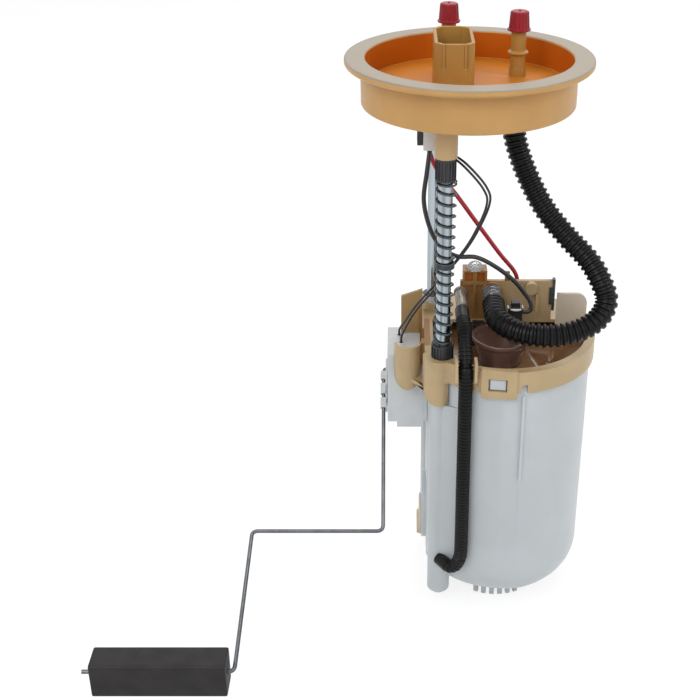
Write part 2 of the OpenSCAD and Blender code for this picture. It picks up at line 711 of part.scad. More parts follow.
module wall_clip() {
    low = -wall_top - 19;
    high = -wall_top + 1;
    color([0.25, 0.24, 0.24]) union() {
        block([53.02, wall_y - 0.6, low], [54.6, wall_y + wall_t + 0.6, high]);
        for (y = [wall_y - 0.6, wall_y + wall_t + 0.02])
            block([51.2, y, low + 4], [54.6, y + 0.58, high - 5]);
    }
}

module return_nipple() {
    color([0.78, 0.77, 0.74]) translate([-1, wall_y, port_z]) rotate([90, 0, 0]) difference() {
        union() {
            cylinder(r = 4.6, h = 2);
            cylinder(r = tube_r - 0.5, h = return_l);
            for (z = [4, 6.6, 9.2, 11.8]) translate([0, 0, z])
                cylinder(r1 = tube_r + 0.3, r2 = tube_r - 0.5, h = 1.8);
        }
        translate([0, 0, -1]) cylinder(r = 1.6, h = return_l + 2);
    }
}

module jet_tube() {
    color(black) tube_along(tube_route, tube_r, 10, [1, 0.1, 0.1]);
}

// Plan of the filter housing, grown by d
module filter_plan(d) {
    intersection() {
        translate([res_x, 0]) circle(r = res_in_r - 2.2 + d, $fn = 128);
        translate([-4 - d, -res_d]) square([2 * res_d, 2 * res_d]);
    }
}

module filter_housing() {
    wall = 1.8;
    color([0.80, 0.80, 0.78]) difference() {
        translate([0, 0, -filter_bottom]) linear_extrude(filter_bottom + filter_top - lid_t) filter_plan(0);
        difference() {
            translate([0, 0, -filter_bottom + wall])
                linear_extrude(filter_bottom) filter_plan(-wall);
            translate([pump_x, pump_y, 0]) bar(well_r + wall, -filter_bottom - 1, 0);
        }
        translate([pump_x, pump_y, 0]) bar(well_r, -filter_bottom - 1, 0);
    }
}

module filter_lid() {
    color([0.68, 0.60, 0.50]) difference() {
        union() {
            translate([0, 0, filter_top - lid_t]) linear_extrude(lid_t) filter_plan(0);
            block([-16, -22, filter_top - lid_t], [-3, 22, filter_top]);
            // Standing plate with a round corner, and the hook over the rear wall
            translate([0, 9, 0]) rotate([90, 0, 0]) linear_extrude(2) union() {
                square_from([55.4, filter_top - 1], [plate_right - 3.4, plate_top - 6]);
                square_from([55.4, -res_top + 3], [plate_right, plate_top - 6]);
                square_from([55.4, -res_top + 3], [plate_right - 6, plate_top]);
                translate([plate_right - 6, plate_top - 6]) circle(r = 6);
            }
            block([25, wall_y + wall_t + 0.3, filter_top - 1],
                [28, wall_y + wall_t + 1.9, -wall_top + 4.5]);
            block([25, wall_y + 0.4, -wall_top + 0.1], [28, wall_y + wall_t + 1.9, -wall_top + 2.4]);
            for (a = [20, 48]) translate([res_x, 0, 0]) rotate([0, 0, a - 90])
                block([34, -5, filter_top - 0.5], [41, 5, filter_top + 1]);
        }
        translate([pump_x, pump_y, 0]) bar(12, filter_top - lid_t - 1, filter_top + 3);
    }
}

// Flat rectangle from its low corner to its high corner
module square_from(low, high) {
    translate(low) square(high - low);
}

// Zigzag ring of pleats
module pleat_plan(r_in, r_out, thick) {
    n = pleats;
    difference() {
        polygon([for (i = [0:2 * n - 1]) let (a = i * 180 / n, r = i % 2 == 0 ? r_out : r_in + thick)
            [r * cos(a), r * sin(a)]]);
        polygon([for (i = [0:2 * n - 1]) let (a = i * 180 / n, r = i % 2 == 0 ? r_out - thick * 2 : r_in)
            [r * cos(a), r * sin(a)]]);
    }
}

element_low = -filter_bottom + 6;
element_high = filter_top - lid_t - 6;

module filter_element() {
    color([0.86, 0.78, 0.60]) translate([element_x, element_y, element_low + 1.5])
        linear_extrude(element_high - element_low - 3)
            pleat_plan(element_d / 2 - 8, element_d / 2 - 1, 1.2);
}

module element_caps() {
    color(black) translate([element_x, element_y, 0]) {
        ring(element_d / 2, element_d / 2 - 12, element_low, element_low + 1.5);
        ring(element_d / 2, element_d / 2 - 12, element_high - 1.5, element_high);
        ring(element_d / 2 - 12, element_d / 2 - 14, -filter_bottom + 1.8, element_low + 1.5);
    }
}

module rubber_stop() {
    color(black) union() {
        block([5.4, -2.6, filter_top], [14, 6, filter_top + 10]);
        block([6.2, -1.8, filter_top + 10], [13.2, 5.2, filter_top + 13]);
    }
}

module pump_cover() {
    r = cover_d / 2;
    color([0.33, 0.20, 0.17]) translate([pump_x, pump_y, 0]) difference() {
        rotate_extrude($fn = 96) polygon([[0, cover_low], [r - 2.6, cover_low], [r - 0.8, cover_low + 4],
            [r - 0.3, cover_high - 3], [r, cover_high - 2.4], [r, cover_high - 0.5],
            [r - 0.5, cover_high], [r - 2, cover_high], [r - 2.4, cover_high - 1], [0, cover_high - 1]]);
        bar(11.4, cover_low - 1, cover_high - 4);
    }
}

module pump_plug() {
    plug_top = cover_high + 16;
    color(black) union() {
        block([25, -14, cover_high], [34, -6, cover_high + 4]);
        block([25.6, -13.4, cover_high + 4], [33.4, -6.6, plug_top - 3]);
        block([27, -12.4, plug_top - 3], [32, -7.6, plug_top]);
    }
}

module at_pump() translate([pump_x, pump_y, 0]) children();

module pump_can() {
    color(steel) at_pump() difference() {
        union() {
            bar(pump_r, can_bottom + 1, -can_top - 1);
            translate([0, 0, can_bottom]) cylinder(r1 = pump_r - 1, r2 = pump_r, h = 1);
            translate([0, 0, -can_top - 1]) cylinder(r1 = pump_r, r2 = pump_r - 1, h = 1);
        }
        bar(pump_r - 1.2, can_bottom + 1.2, -can_top - 1.2);
        bar(pump_r - 2.8, can_bottom - 1, -can_top + 1);
    }
}

inner_r = pump_r - 1.2;
valve_r = 3.2;
cap_low = -can_top - 14;
rotor_low = can_bottom + 24;
rotor_high = cap_low - 12;
shaft_low = can_bottom + 8;

module outlet_cap() {
    color(black) at_pump() difference() {
        union() {
            bar(inner_r, cap_low, -can_top - 1.2);
            bar(pump_r - 2.8, -can_top - 1.2, -can_top + 4);
            bar(9, -can_top + 4, cover_high - 7);
        }
        // Shaft bearing, brush slots, check valve chamber and outlet
        bar(shaft_r + run_gap, cap_low - 1, cap_low + 6);
        for (s = [-1, 1]) block([s * 6 - 2.4, -2.4, cap_low - 1], [s * 6 + 2.4, 2.4, cap_low + 8]);
        bar(valve_r, -can_top - 2, cover_high);
        translate([0, 0, cap_low + 8]) cylinder(r = 1.5, h = 10);
    }
}

module check_valve() {
    color(brass) at_pump() translate([0, 0, -can_top - 1.9]) difference() {
        union() {
            cylinder(r = valve_r - run_gap, h = 4);
            translate([0, 0, 4]) cylinder(r1 = valve_r - run_gap, r2 = 1, h = 3);
        }
        for (a = [0, 120, 240]) rotate([0, 0, a]) block([valve_r - 0.7, -4, -1], [valve_r + 1, 4, 8]);
    }
}

module motor_magnets() {
    color([0.35, 0.35, 0.37]) at_pump() difference() {
        ring(inner_r, armature_d / 2 + 0.6, rotor_low - 2, rotor_high + 2);
        for (a = [0, 180]) rotate([0, 0, a]) rotate([0, 0, 70]) translate([0, -4, rotor_low - 3])
            cube([30, 8, rotor_high - rotor_low + 6]);
    }
}

module brushes() {
    color([0.2, 0.2, 0.2]) at_pump() for (s = [-1, 1])
        block([s * 6 - 2.3, -2.3, cap_low - 3.9], [s * 6 + 2.3, 2.3, cap_low + 7]);
}

module armature() {
    slots = 8;
    color([0.72, 0.42, 0.24]) at_pump() difference() {
        union() {
            bar(armature_d / 2, rotor_low, rotor_high);
            bar(10, rotor_high, rotor_high + 4);
            bar(9, rotor_high + 4, cap_low - 4);
        }
        for (i = [0:slots - 1]) rotate([0, 0, i * 360 / slots])
            block([armature_d / 2 - 4.5, -0.8, rotor_low - 1], [armature_d / 2 + 1, 0.8, rotor_high + 1]);
        bar(shaft_r, rotor_low - 1, cap_low);
    }
}

module motor_shaft() {
    color(steel) at_pump() bar(shaft_r, shaft_low, cap_low + 5);
}

impeller_low = can_bottom + 9;
impeller_t = 3.2;

module impeller() {
    r = inner_r - 2.6;
    color([0.45, 0.36, 0.28]) at_pump() difference() {
        bar(r, impeller_low, impeller_low + impeller_t);
        bar(shaft_r, impeller_low - 1, impeller_low + impeller_t + 1);
        for (i = [0:vane_count - 1]) rotate([0, 0, i * 360 / vane_count])
            block([r - 3, -0.7, impeller_low - 1], [r + 1, 0.7, impeller_low + impeller_t + 1]);
    }
}

module pump_chamber() {
    color([0.62, 0.63, 0.64]) at_pump() difference() {
        bar(inner_r, impeller_low - 0.1, rotor_low - 4);
        bar(inner_r - 2.5, impeller_low - 1, impeller_low + impeller_t + 0.1);
        bar(shaft_r + run_gap, impeller_low, rotor_low);
        bar(6.5, impeller_low + impeller_t + 4, rotor_low);
    }
}

module inlet_cover() {
    color([0.62, 0.63, 0.64]) at_pump() difference() {
        union() {
            bar(inner_r, can_bottom + 1.2, impeller_low - 0.1);
            bar(5, can_bottom - 14, can_bottom + 2);
        }
        bar(3.4, can_bottom - 15, can_bottom + 4);
        bar(shaft_r + run_gap, shaft_low - 0.5, impeller_low + 1);
        translate([9, 0, 0]) bar(2, can_bottom + 3, impeller_low + 1);
        block([0, -1.6, can_bottom + 2.4], [10, 1.6, can_bottom + 4]);
    }
}

strainer_top = floor_in + 8;

module strainer_neck() {
    color(black) at_pump() difference() {
        union() {
            bar(6.4, strainer_top, can_bottom - 6);
            bar(9, strainer_top, strainer_top + 1.6);
        }
        bar(5 + fit_gap, can_bottom - 15, can_bottom);
        bar(3.4, strainer_top - 1, can_bottom);
    }
}

module strainer() {
    color([0.80, 0.78, 0.72]) translate([pump_x, pump_y + 8, floor_in + 1.6]) difference() {
        linear_extrude(strainer_top - floor_in - 1.6) union() {
            for (s = [-1, 1]) translate([s * 10, 0]) circle(r = 12.5);
            translate([-10, -12.5]) square([20, 25]);
        }
        translate([0, -8, -1]) cylinder(r = 3.4, h = 20);
    }
}

module jet_pump_cover() {
    disc_r = 13;
    nose_r = 7.7;
    disc_z = jet_z - jet_r + disc_r;
    nose_z = disc_z - 6;
    color([0.80, 0.66, 0.45]) translate([-res_flat - jet_plate, 0, 0]) rotate([0, -90, 0])
        difference() {
            union() {
                translate([disc_z, 0, 0]) cylinder(r = disc_r, h = 1.3);
                translate([nose_z, 0, 0]) cylinder(r = nose_r, h = 2.7);
            }
            translate([nose_z, 0, 1.7]) cylinder(r = nose_r - 1.6, h = 2);
        }
}

module foot_valve() {
    color([0.25, 0.22, 0.2]) translate([inlet_x, inlet_y, 0]) union() {
        bar(1.4, -res_bottom - 1.5, floor_in + 1);
        translate([0, 0, floor_in]) cylinder(r1 = 7.4, r2 = 3, h = 1.8);
        bar(2.3, -res_bottom - 2.6, -res_bottom - 0.02);
    }
}

arm_wall_x = -24;
card_low = -pivot_depth + 11;
card_high = -pivot_depth + 23.5;
hub_r = 2.5;

module sender_housing() {
    step_x = housing_left + 5.5;
    color([0.80, 0.82, 0.84]) difference() {
        union() {
            block([step_x, housing_front, housing_bottom], [housing_right, housing_back, housing_top]);
            block([housing_left, housing_front, housing_bottom + 3.7], [step_x, housing_back, housing_top]);
            // Rails that snap to the reservoir
            for (y = [-12, 8]) block([housing_right - 0.5, y, housing_bottom + 4],
                [-res_flat - 0.02, y + 4, housing_top - 9]);
        }
        // Pockets on the face and the front, slot for the holder's wall, holes for the leads, pivot bore
        block([housing_left - 1, housing_front + 2, card_low - 2.1],
            [housing_left + 1.6, housing_back - 2, card_high + 0.1]);
        block([-34, housing_front - 1, housing_top - 20],
            [housing_right - 4, housing_front + 3, housing_top - 3]);
        block([arm_wall_x - 0.3, housing_front - 1, arm_wall_low - 1],
            [housing_right + 1, 12.4, housing_top + 1]);
        for (p = lead_ends) translate([p[0], p[1], 0]) bar(lead_r + 0.5, housing_top - 3, housing_top + 1);
        translate(pivot) rotate([0, 90, 0]) translate([0, 0, -1]) cylinder(r = hub_r + run_gap, h = 9);
    }
}

module resistor_card() {
    color([0.88, 0.88, 0.84]) block([housing_left + 0.8, housing_front + 2.1, card_low],
        [housing_left + 1.6, housing_back - 2.1, card_high]);
}

// Frame of the arm's carrier: the pivot, turned so that its own -Z runs down the arm wire
module at_arm() {
    translate([0, 0, -pivot_depth]) rotate([-arm_angle, 0, 0]) children();
}

module arm_carrier() {
    face = housing_left - 0.3;
    color([0.82, 0.83, 0.84]) difference() {
        union() {
            at_arm() {
                block([web_x, -4.6, -12], [face, 4.6, 19]);
                for (z = [[-10.5, -4.5], [-2, 4.5], [7, 12]])
                    block([-arm_x - arm_r - 0.7, -2.6, z[0]], [web_x + 0.1, 2.6, z[1]]);
            }
            translate([0, 0, -pivot_depth]) rotate([0, 90, 0]) translate([0, 0, face])
                cylinder(r = hub_r, h = 7);
            translate([0, 0, -pivot_depth]) rotate([0, 90, 0]) translate([0, 0, web_x])
                cylinder(r = 7, h = face - web_x);
            // Wiper holder, straight up and 37 degrees to the front
            translate([0, 0, -pivot_depth]) rotate([37, 0, 0])
                block([web_x, -4, 0], [face, 4, 20]);
        }
        at_arm() translate([-arm_x, 0, -30]) cylinder(r = arm_r + 0.02, h = 60);
        at_arm() translate([-arm_x, 0, hook_at]) rotate([0, 90, 0]) cylinder(r = arm_r + 0.02, h = 20);
    }
}

module wiper_contacts() {
    color(brass) translate([0, 0, -pivot_depth]) rotate([37, 0, 0]) for (y = [-2.6, 1])
        union() {
            block([housing_left - 0.3, y, 14.6], [housing_left + 0.1, y + 1.6, 19.4]);
            block([housing_left - 0.3, y + 0.3, 17.2], [housing_left + 0.7, y + 1.3, 18.4]);
        }
}

float_points = [[-arm_x, -bend_front, -bend_depth], [-reach_x, -bend_front, -bend_depth],
    [-reach_x, -float_front, -float_depth], [-reach_x - 79, -float_front, -float_depth]];
bend_r = 3;
hook_end = 15.5;
hook_at = 13.5;

// Straight wire between two points, shortened at each end
module wire_between(a, b, cut_a, cut_b) {
    d = unit(b - a);
    translate(a + cut_a * d) rotate([0, acos(d[2]), atan2(d[1], d[0])])
        cylinder(r = arm_r, h = norm(b - a) - cut_a - cut_b, $fn = 32);
}

// Quarter bend at a corner whose two runs leave it in the directions u and v
module wire_bend(corner, u, v) {
    w = cross(v, u);
    c = corner + bend_r * (u + v);
    multmatrix([for (i = [0:2]) [-v[i], -u[i], w[i], c[i]]])
        rotate_extrude(angle = 90, $fn = 64) translate([bend_r, 0]) circle(r = arm_r - 0.01, $fn = 32);
}

module float_arm() {
    up = [0, sin(arm_angle), cos(arm_angle)];
    left = [-1, 0, 0];
    hub = [-arm_x, 0, -pivot_depth];
    hook = hub + hook_at * up;
    reach = unit(float_points[2] - float_points[1]);
    cut = bend_r - 0.1;
    color([0.45, 0.46, 0.47]) union() {
        wire_between(hub + hook_end * up, float_points[0], 0, cut);
        wire_between(hook, hook + [arm_x + housing_left - 0.4, 0, 0], 0, 0);
        wire_between(float_points[0], float_points[1], cut, cut);
        wire_between(float_points[1], float_points[2], cut, cut);
        wire_between(float_points[2], float_points[3], cut, 0);
        wire_bend(float_points[0], up, left);
        wire_bend(float_points[1], -left, reach);
        wire_bend(float_points[2], -reach, left);
    }
}

module float() {
    x_right = -reach_x - bend_r - 0.2;
    color(black) difference() {
        translate([x_right - float_l, -float_front, -float_depth]) rotate([0, 90, 0])
            linear_extrude(float_l) cut_rect(float_h, float_w, 1.2);
        translate([x_right - float_l - 1, -float_front, -float_depth]) rotate([0, 90, 0])
            cylinder(r = arm_r, h = float_l + 2, $fn = 24);
    }
}

flange();
transport_caps();
connector_terminals();
under_plug();
plug_lock();
guide_rod_front();
guide_rod_rear();
spring_seat();
spring_front();
supply_hose();
pump_wire_black();
pump_wire_red();
sender_wires();
reservoir();
holder();
slide_bush_front();
slide_bush_rear();
valve_dome();
wall_clip();
return_nipple();
jet_tube();
filter_housing();
filter_lid();
filter_element();
element_caps();
rubber_stop();
pump_cover();
pump_plug();
pump_can();
outlet_cap();
check_valve();
motor_magnets();
brushes();
pump_chamber();
inlet_cover();
armature();
motor_shaft();
impeller();
strainer();
strainer_neck();
jet_pump_cover();
foot_valve();
sender_housing();
resistor_card();
arm_carrier();
wiper_contacts();
float_arm();
float();
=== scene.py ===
"""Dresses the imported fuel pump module: moulded acetal flange, holder and reservoir, plated guide
rods with their spring, corrugated hoses, wires, pump, filter and level sender with its float."""
import json
import math

import bmesh
import bpy
import numpy as np
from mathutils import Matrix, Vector

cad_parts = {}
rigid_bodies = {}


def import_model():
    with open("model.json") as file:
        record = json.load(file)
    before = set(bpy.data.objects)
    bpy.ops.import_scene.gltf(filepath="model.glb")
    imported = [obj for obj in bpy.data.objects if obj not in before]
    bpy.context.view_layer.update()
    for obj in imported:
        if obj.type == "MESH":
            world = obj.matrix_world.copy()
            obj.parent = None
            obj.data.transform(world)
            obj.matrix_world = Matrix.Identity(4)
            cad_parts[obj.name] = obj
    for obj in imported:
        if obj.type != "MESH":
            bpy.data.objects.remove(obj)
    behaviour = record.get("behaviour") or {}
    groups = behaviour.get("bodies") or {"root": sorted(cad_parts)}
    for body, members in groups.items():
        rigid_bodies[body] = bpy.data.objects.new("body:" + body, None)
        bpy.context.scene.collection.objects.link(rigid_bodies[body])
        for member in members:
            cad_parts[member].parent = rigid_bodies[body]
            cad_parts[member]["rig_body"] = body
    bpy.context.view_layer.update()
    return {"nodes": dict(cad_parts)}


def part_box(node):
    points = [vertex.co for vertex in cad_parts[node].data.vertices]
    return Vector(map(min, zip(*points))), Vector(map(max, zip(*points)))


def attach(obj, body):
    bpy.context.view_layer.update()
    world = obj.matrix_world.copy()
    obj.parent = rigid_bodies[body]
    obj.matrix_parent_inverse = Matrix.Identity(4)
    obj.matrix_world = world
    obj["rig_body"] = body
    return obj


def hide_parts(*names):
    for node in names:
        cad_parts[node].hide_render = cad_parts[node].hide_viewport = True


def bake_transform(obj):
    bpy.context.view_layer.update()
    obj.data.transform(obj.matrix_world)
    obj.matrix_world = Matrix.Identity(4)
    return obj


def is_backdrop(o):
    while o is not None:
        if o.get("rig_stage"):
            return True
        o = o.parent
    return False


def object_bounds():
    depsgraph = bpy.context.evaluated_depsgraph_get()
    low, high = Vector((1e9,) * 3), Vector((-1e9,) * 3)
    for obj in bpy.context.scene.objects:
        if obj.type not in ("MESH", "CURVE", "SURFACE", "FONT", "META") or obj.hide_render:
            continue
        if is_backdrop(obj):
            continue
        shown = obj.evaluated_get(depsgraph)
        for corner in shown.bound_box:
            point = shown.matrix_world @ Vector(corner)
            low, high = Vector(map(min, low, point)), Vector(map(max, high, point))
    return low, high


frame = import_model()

bl_info = {
    "name": "Fuel pump module looks",
    "version": (1, 0, 0),
    "blender": (4, 5, 0),
    "location": "View3D > Sidebar > Pump module",
    "description": "Surfaces and finishes for a fuel pump module around its packed solids",
    "category": "Object",
}

MM = 0.001
TURN = 2 * math.pi
# Edges between faces that turn by more than these stay sharp, and are rounded
SHARP_ANGLE, BEVEL_ANGLE = math.radians(32), math.radians(40)
# Faces of a CAD copy that turn by less are joined, and points closer than this are merged
FLAT_ANGLE, WELD = math.radians(0.6), 2e-6
# Radius in millimetres of the small face that closes a turned surface at its axis
POLE_RADIUS = 0.005


def linear(code):
    """Linear RGB of an sRGB hex colour."""
    srgb = np.array([int(code[i:i + 2], 16) for i in (1, 3, 5)]) / 255
    return tuple(float(x) for x in np.where(srgb <= 0.04045, srgb / 12.92,
                                            ((srgb + 0.055) / 1.055) ** 2.4))


def length(name, text, millimetres, low, high):
    """A size in metres that a user can change, given in millimetres."""
    return bpy.props.FloatProperty(name=name, description=text, default=millimetres * MM,
                                   min=low * MM, max=high * MM, unit="LENGTH", precision=5)


def colour(name, text, code):
    """A colour that a user can change, given as sRGB hex."""
    return bpy.props.FloatVectorProperty(name=name, description=text, default=linear(code),
                                         size=3, min=0, max=1, subtype="COLOR")


class ModuleSizes(bpy.types.PropertyGroup):
    """Sizes of the surfaces that are made here"""
    hose_radius: length("Hose radius", "Outer radius of the supply hose", 6.5, 5.8, 7)
    hose_pitch: length("Hose pitch", "Distance of the supply hose's corrugations", 3.5, 3, 5)
    hose_groove: length("Hose groove", "Depth of its corrugations", 1.1, 0.6, 2)
    cuff_radius: length("Cuff radius", "Outer radius of the hose's ringed end", 5.9, 5.4, 6.2)
    cuff_groove: length("Cuff groove", "Depth of the grooves between its rings", 0.7, 0.3, 1)
    jet_radius: length("Jet tube radius", "Outer radius of the jet tube", 4.0, 3.6, 4.4)
    jet_pitch: length("Jet tube pitch", "Distance of the jet tube's corrugations", 2.1, 1.6, 3)
    jet_groove: length("Jet tube groove", "Depth of its corrugations", 0.6, 0.3, 1)
    jet_plain: length("Jet tube's plain end", "Length of the end without corrugations", 11, 5, 16)
    wire_radius: length("Pump wire radius", "Radius of the two pump wires", 1.25, 1, 1.5)
    lead_radius: length("Sender lead radius", "Radius of the two sender leads", 0.65, 0.4, 0.8)
    spring_top: length("Spring's upper radius", "Mean radius of the upper turns", 5.15, 4.8, 5.6)
    spring_low: length("Spring's lower radius", "Mean radius of the lower turns", 4.85, 4.6, 5.4)
    spring_wire: length("Spring wire", "Radius of the spring's wire", 0.55, 0.4, 0.8)


class ModuleColours(bpy.types.PropertyGroup):
    """Colours of the plastics and metals"""
    amber: colour("Amber acetal", "Flange", "#C2965C")
    amber_deep: colour("Deep amber", "Cup's inside, where light shines through", "#BA5C06")
    cup_floor: colour("Cup floor", "Floor of the flange's cup", "#C67A22")
    shroud: colour("Shroud amber", "Connector shroud and nipples inside the cup", "#AA8142")
    socket: colour("Socket amber", "Thick sockets under the flange, paler", "#BD9F76")
    rim: colour("Rim", "Top of the flange's rim, greyer than the rest", "#9C9180")
    holder: colour("Holder amber", "Band, wall and sockets on the reservoir", "#B8A079")
    window: colour("Window amber", "Thin floors of the valve block's windows", "#A85A12")
    # Painted shade: browner amber on the valve block, the rear wall's left and the wall by the
    # sender
    shade: colour("Shaded amber", "Valve block and the wall beside it", "#946B3A")
    # Painted shade: the browner amber of the slanted plate
    plate: colour("Plate amber", "Slanted plate behind the sender", "#9C8154")
    milky: colour("Natural acetal", "Reservoir", "#BCC2C5")
    grey: colour("Sender acetal", "Sender housing and arm carrier", "#C6CACC")
    red: colour("Cap red", "Transport caps", "#941624")
    black: colour("Black nylon", "Bushes, hoses and plugs", "#151516")


def values():
    """The user's sizes and colours."""
    return bpy.context.scene.module_sizes, bpy.context.scene.module_colours


# Materials

def add(tree, kind, props=None, sockets=None, links=None):
    """Adds a shader node with its settings, socket values and incoming links."""
    made = tree.nodes.new("ShaderNode" + kind)
    for key, value in (props or {}).items():
        setattr(made, key, value)
    for key, value in (sockets or {}).items():
        made.inputs[key].default_value = value
    for key, source in (links or {}).items():
        tree.links.new(source, made.inputs[key])
    return made


# Sockets of the Mix node when it mixes colours
MIX_SHARE, MIX_FIRST, MIX_SECOND, MIX_RESULT = 0, 6, 7, 2


def rgba(colour_value, factor=1.0):
    """A socket colour, made lighter or darker by a factor."""
    return (*[min(1.0, c * factor) for c in colour_value[:3]], 1)


def finish(name, base, shade, patch_mm, grain_mm, depth_mm, roughness, spread,
           stretch=(1, 1, 1), patch_stretch=(1, 1, 1), **sockets):
    """A material: broad patches between a colour and its shade, with the roughness following
    them, and a fine grain as bump. Scales are real millimetres, and the two stretches draw the
    grain and the patches out on an axis."""
    made = bpy.data.materials.new(name)
    made.use_nodes = True
    tree = made.node_tree
    tree.nodes.clear()
    place = add(tree, "TexCoord").outputs["Object"]
    spots = add(tree, "Mapping", None, {"Scale": patch_stretch}, {"Vector": place}).outputs[0]
    patches = add(tree, "TexNoise", sockets={"Scale": 1 / MM / patch_mm, "Detail": 3.0},
                  links={"Vector": spots}).outputs[0]
    softened = add(tree, "MapRange", {"interpolation_type": "SMOOTHSTEP"},
                   {"From Min": 0.35, "From Max": 0.65}, {"Value": patches}).outputs[0]
    tone = add(tree, "Mix", {"data_type": "RGBA"},
               {MIX_FIRST: rgba(base), MIX_SECOND: rgba(base, shade)},
               {MIX_SHARE: softened}).outputs[MIX_RESULT]
    rough = add(tree, "MapRange", None,
                {"To Min": roughness - spread, "To Max": roughness + spread},
                {"Value": patches}).outputs[0]
    drawn = add(tree, "Mapping", None, {"Scale": stretch}, {"Vector": place}).outputs[0]
    grain = add(tree, "TexNoise", sockets={"Scale": 1 / MM / grain_mm, "Detail": 2.0},
                links={"Vector": drawn}).outputs[0]
    bump = add(tree, "Bump", None, {"Strength": 1.0, "Distance": depth_mm * MM}, {"Height": grain})
    skin = add(tree, "BsdfPrincipled", None, sockets,
               {"Base Color": tone, "Roughness": rough, "Normal": bump.outputs[0]})
    add(tree, "OutputMaterial", links={"Surface": skin.outputs[0]})
    return made


MATERIALS = {}


def material(name):
    """A finish by name, made once."""
    if name not in MATERIALS:
        MATERIALS[name] = FINISHES[name]()
    return MATERIALS[name]


def between(tree, value, low, high, soft):
    """1 where a value lies between two limits in millimetres, falling to 0 over a soft edge."""
    up = add(tree, "MapRange", None, {"From Min": (low - soft) * MM, "From Max": low * MM},
             {"Value": value}).outputs[0]
    down = add(tree, "MapRange", None,
               {"From Min": high * MM, "From Max": (high + soft) * MM, "To Min": 1, "To Max": 0},
               {"Value": value}).outputs[0]
    return add(tree, "Math", {"operation": "MULTIPLY"}, links={0: up, 1: down}).outputs[0]


def zoned(made, *zones):
    """Colours a finish by place. A zone is a colour and, for some of x, y, z and the radius about
    the upright axis, the range in millimetres that it takes and how softly it ends."""
    tree = made.node_tree
    skin = next(n for n in tree.nodes if n.type == "BSDF_PRINCIPLED")
    tone = skin.inputs["Base Color"].links[0].from_socket
    place = next(n for n in tree.nodes if n.type == "TEX_COORD").outputs["Object"]
    axes = add(tree, "SeparateXYZ", links={0: place}).outputs
    flat = add(tree, "CombineXYZ", links={0: axes[0], 1: axes[1]}).outputs[0]
    radius = add(tree, "VectorMath", {"operation": "LENGTH"}, links={0: flat}).outputs["Value"]
    measures = {"x": axes[0], "y": axes[1], "z": axes[2], "radius": radius}
    for tint, ranges in zones:
        share = None
        for measure, limits in ranges.items():
            part = between(tree, measures[measure], *limits)
            share = part if share is None else add(
                tree, "Math", {"operation": "MULTIPLY"}, links={0: share, 1: part}).outputs[0]
        tone = add(tree, "Mix", {"data_type": "RGBA"}, {MIX_SECOND: rgba(tint)},
                   {MIX_SHARE: share, MIX_FIRST: tone}).outputs[MIX_RESULT]
    tree.links.new(tone, skin.inputs["Base Color"])
    return made


def holder_acetal():
    """Amber acetal of the holder, injection moulded, where little light comes through: a greyish
    amber, with painted shade making it browner on the valve block, the left of the rear wall,
    the slanted plate and the wall beside the sender's shell, and deep orange in the thin floors
    of the valve block's windows."""
    colours = values()[1]
    made = finish("acetal_moulded_amber_grey", colours.holder, 0.9, 18, 0.5, 0.010, 0.38, 0.05,
                  **{"IOR": 1.48, "Subsurface Weight": 0.08, "Subsurface Scale": 0.003,
                     "Subsurface Radius": (1.0, 0.6, 0.3)})
    return zoned(
        made,
        # Painted shade: browner amber on the valve block and the rear wall about it, fading out
        # softly
        (colours.shade, {"x": (-3, 15, 14), "y": (9, 30, 1), "z": (-155, -100, 1)}),
        # Painted shade: the slanted plate behind the sender, browner
        (colours.plate, {"x": (-37, -22.5, 0.5), "y": (9.8, 12.2, 0.2), "z": (-163, -130, 1)}),
        # Painted shade: the wall between the sender's shell and the front sleeve, browner
        (colours.shade, {"x": (-25, -19, 0.5), "y": (-20, 12, 2), "z": (-172, -150, 4)}),
        (colours.window, {"x": (1, 14, 0.1), "y": (12.1, 12.4, 0.05), "z": (-131, -124, 0.1)}))


def pale_acetal():
    """Acetal of the jet pump's cover, injection moulded: pale tan and a little see-through."""
    return finish("acetal_moulded_pale", linear("#CFC1AE"), 0.9, 9, 0.5, 0.008, 0.36, 0.05,
                  **{"IOR": 1.48, "Subsurface Weight": 0.2, "Subsurface Scale": 0.003})


def cup_acetal():
    """Amber acetal of the flange, injection moulded. Inside the cup the light that comes through
    the wall turns it deep orange, and the flat rim and the thick sockets are paler."""
    colours = values()[1]
    made = finish("acetal_moulded_amber_cup", colours.amber, 0.93, 22, 0.5, 0.010, 0.38, 0.05,
                  **{"IOR": 1.48, "Specular IOR Level": 0.3, "Subsurface Weight": 0.1,
                     "Subsurface Scale": 0.003, "Subsurface Radius": (1.0, 0.5, 0.2)})
    soft = 0.2
    return zoned(
        made,
        (colours.amber_deep, {"radius": (53.8, 54.7, soft), "z": (-11.2, 3.0, soft)}),
        (colours.cup_floor, {"radius": (-1, 54.6, soft), "z": (-11.3, -10.8, soft)}),
        (colours.shroud, {"radius": (-1, 50, soft), "z": (-10.6, 30, soft)}),
        (colours.rim, {"radius": (54.9, 66, soft), "z": (3.2, 5, soft)}),
        (colours.socket, {"z": (-80, -23, 3)}))


def milky_acetal():
    """Natural acetal, injection moulded: cool white, slightly translucent, smooth."""
    return finish("acetal_moulded_natural", values()[1].milky, 0.95, 30, 0.8, 0.006, 0.38, 0.04,
                  **{"IOR": 1.48, "Subsurface Weight": 0.25, "Subsurface Scale": 0.006,
                     "Subsurface Radius": (0.8, 0.9, 1.0)})


def grey_acetal():
    """Natural acetal of the sender, injection moulded, a shade greyer and not see-through."""
    return finish("acetal_moulded_grey", values()[1].grey, 0.93, 16, 0.7, 0.006, 0.42, 0.04,
                  **{"IOR": 1.48})


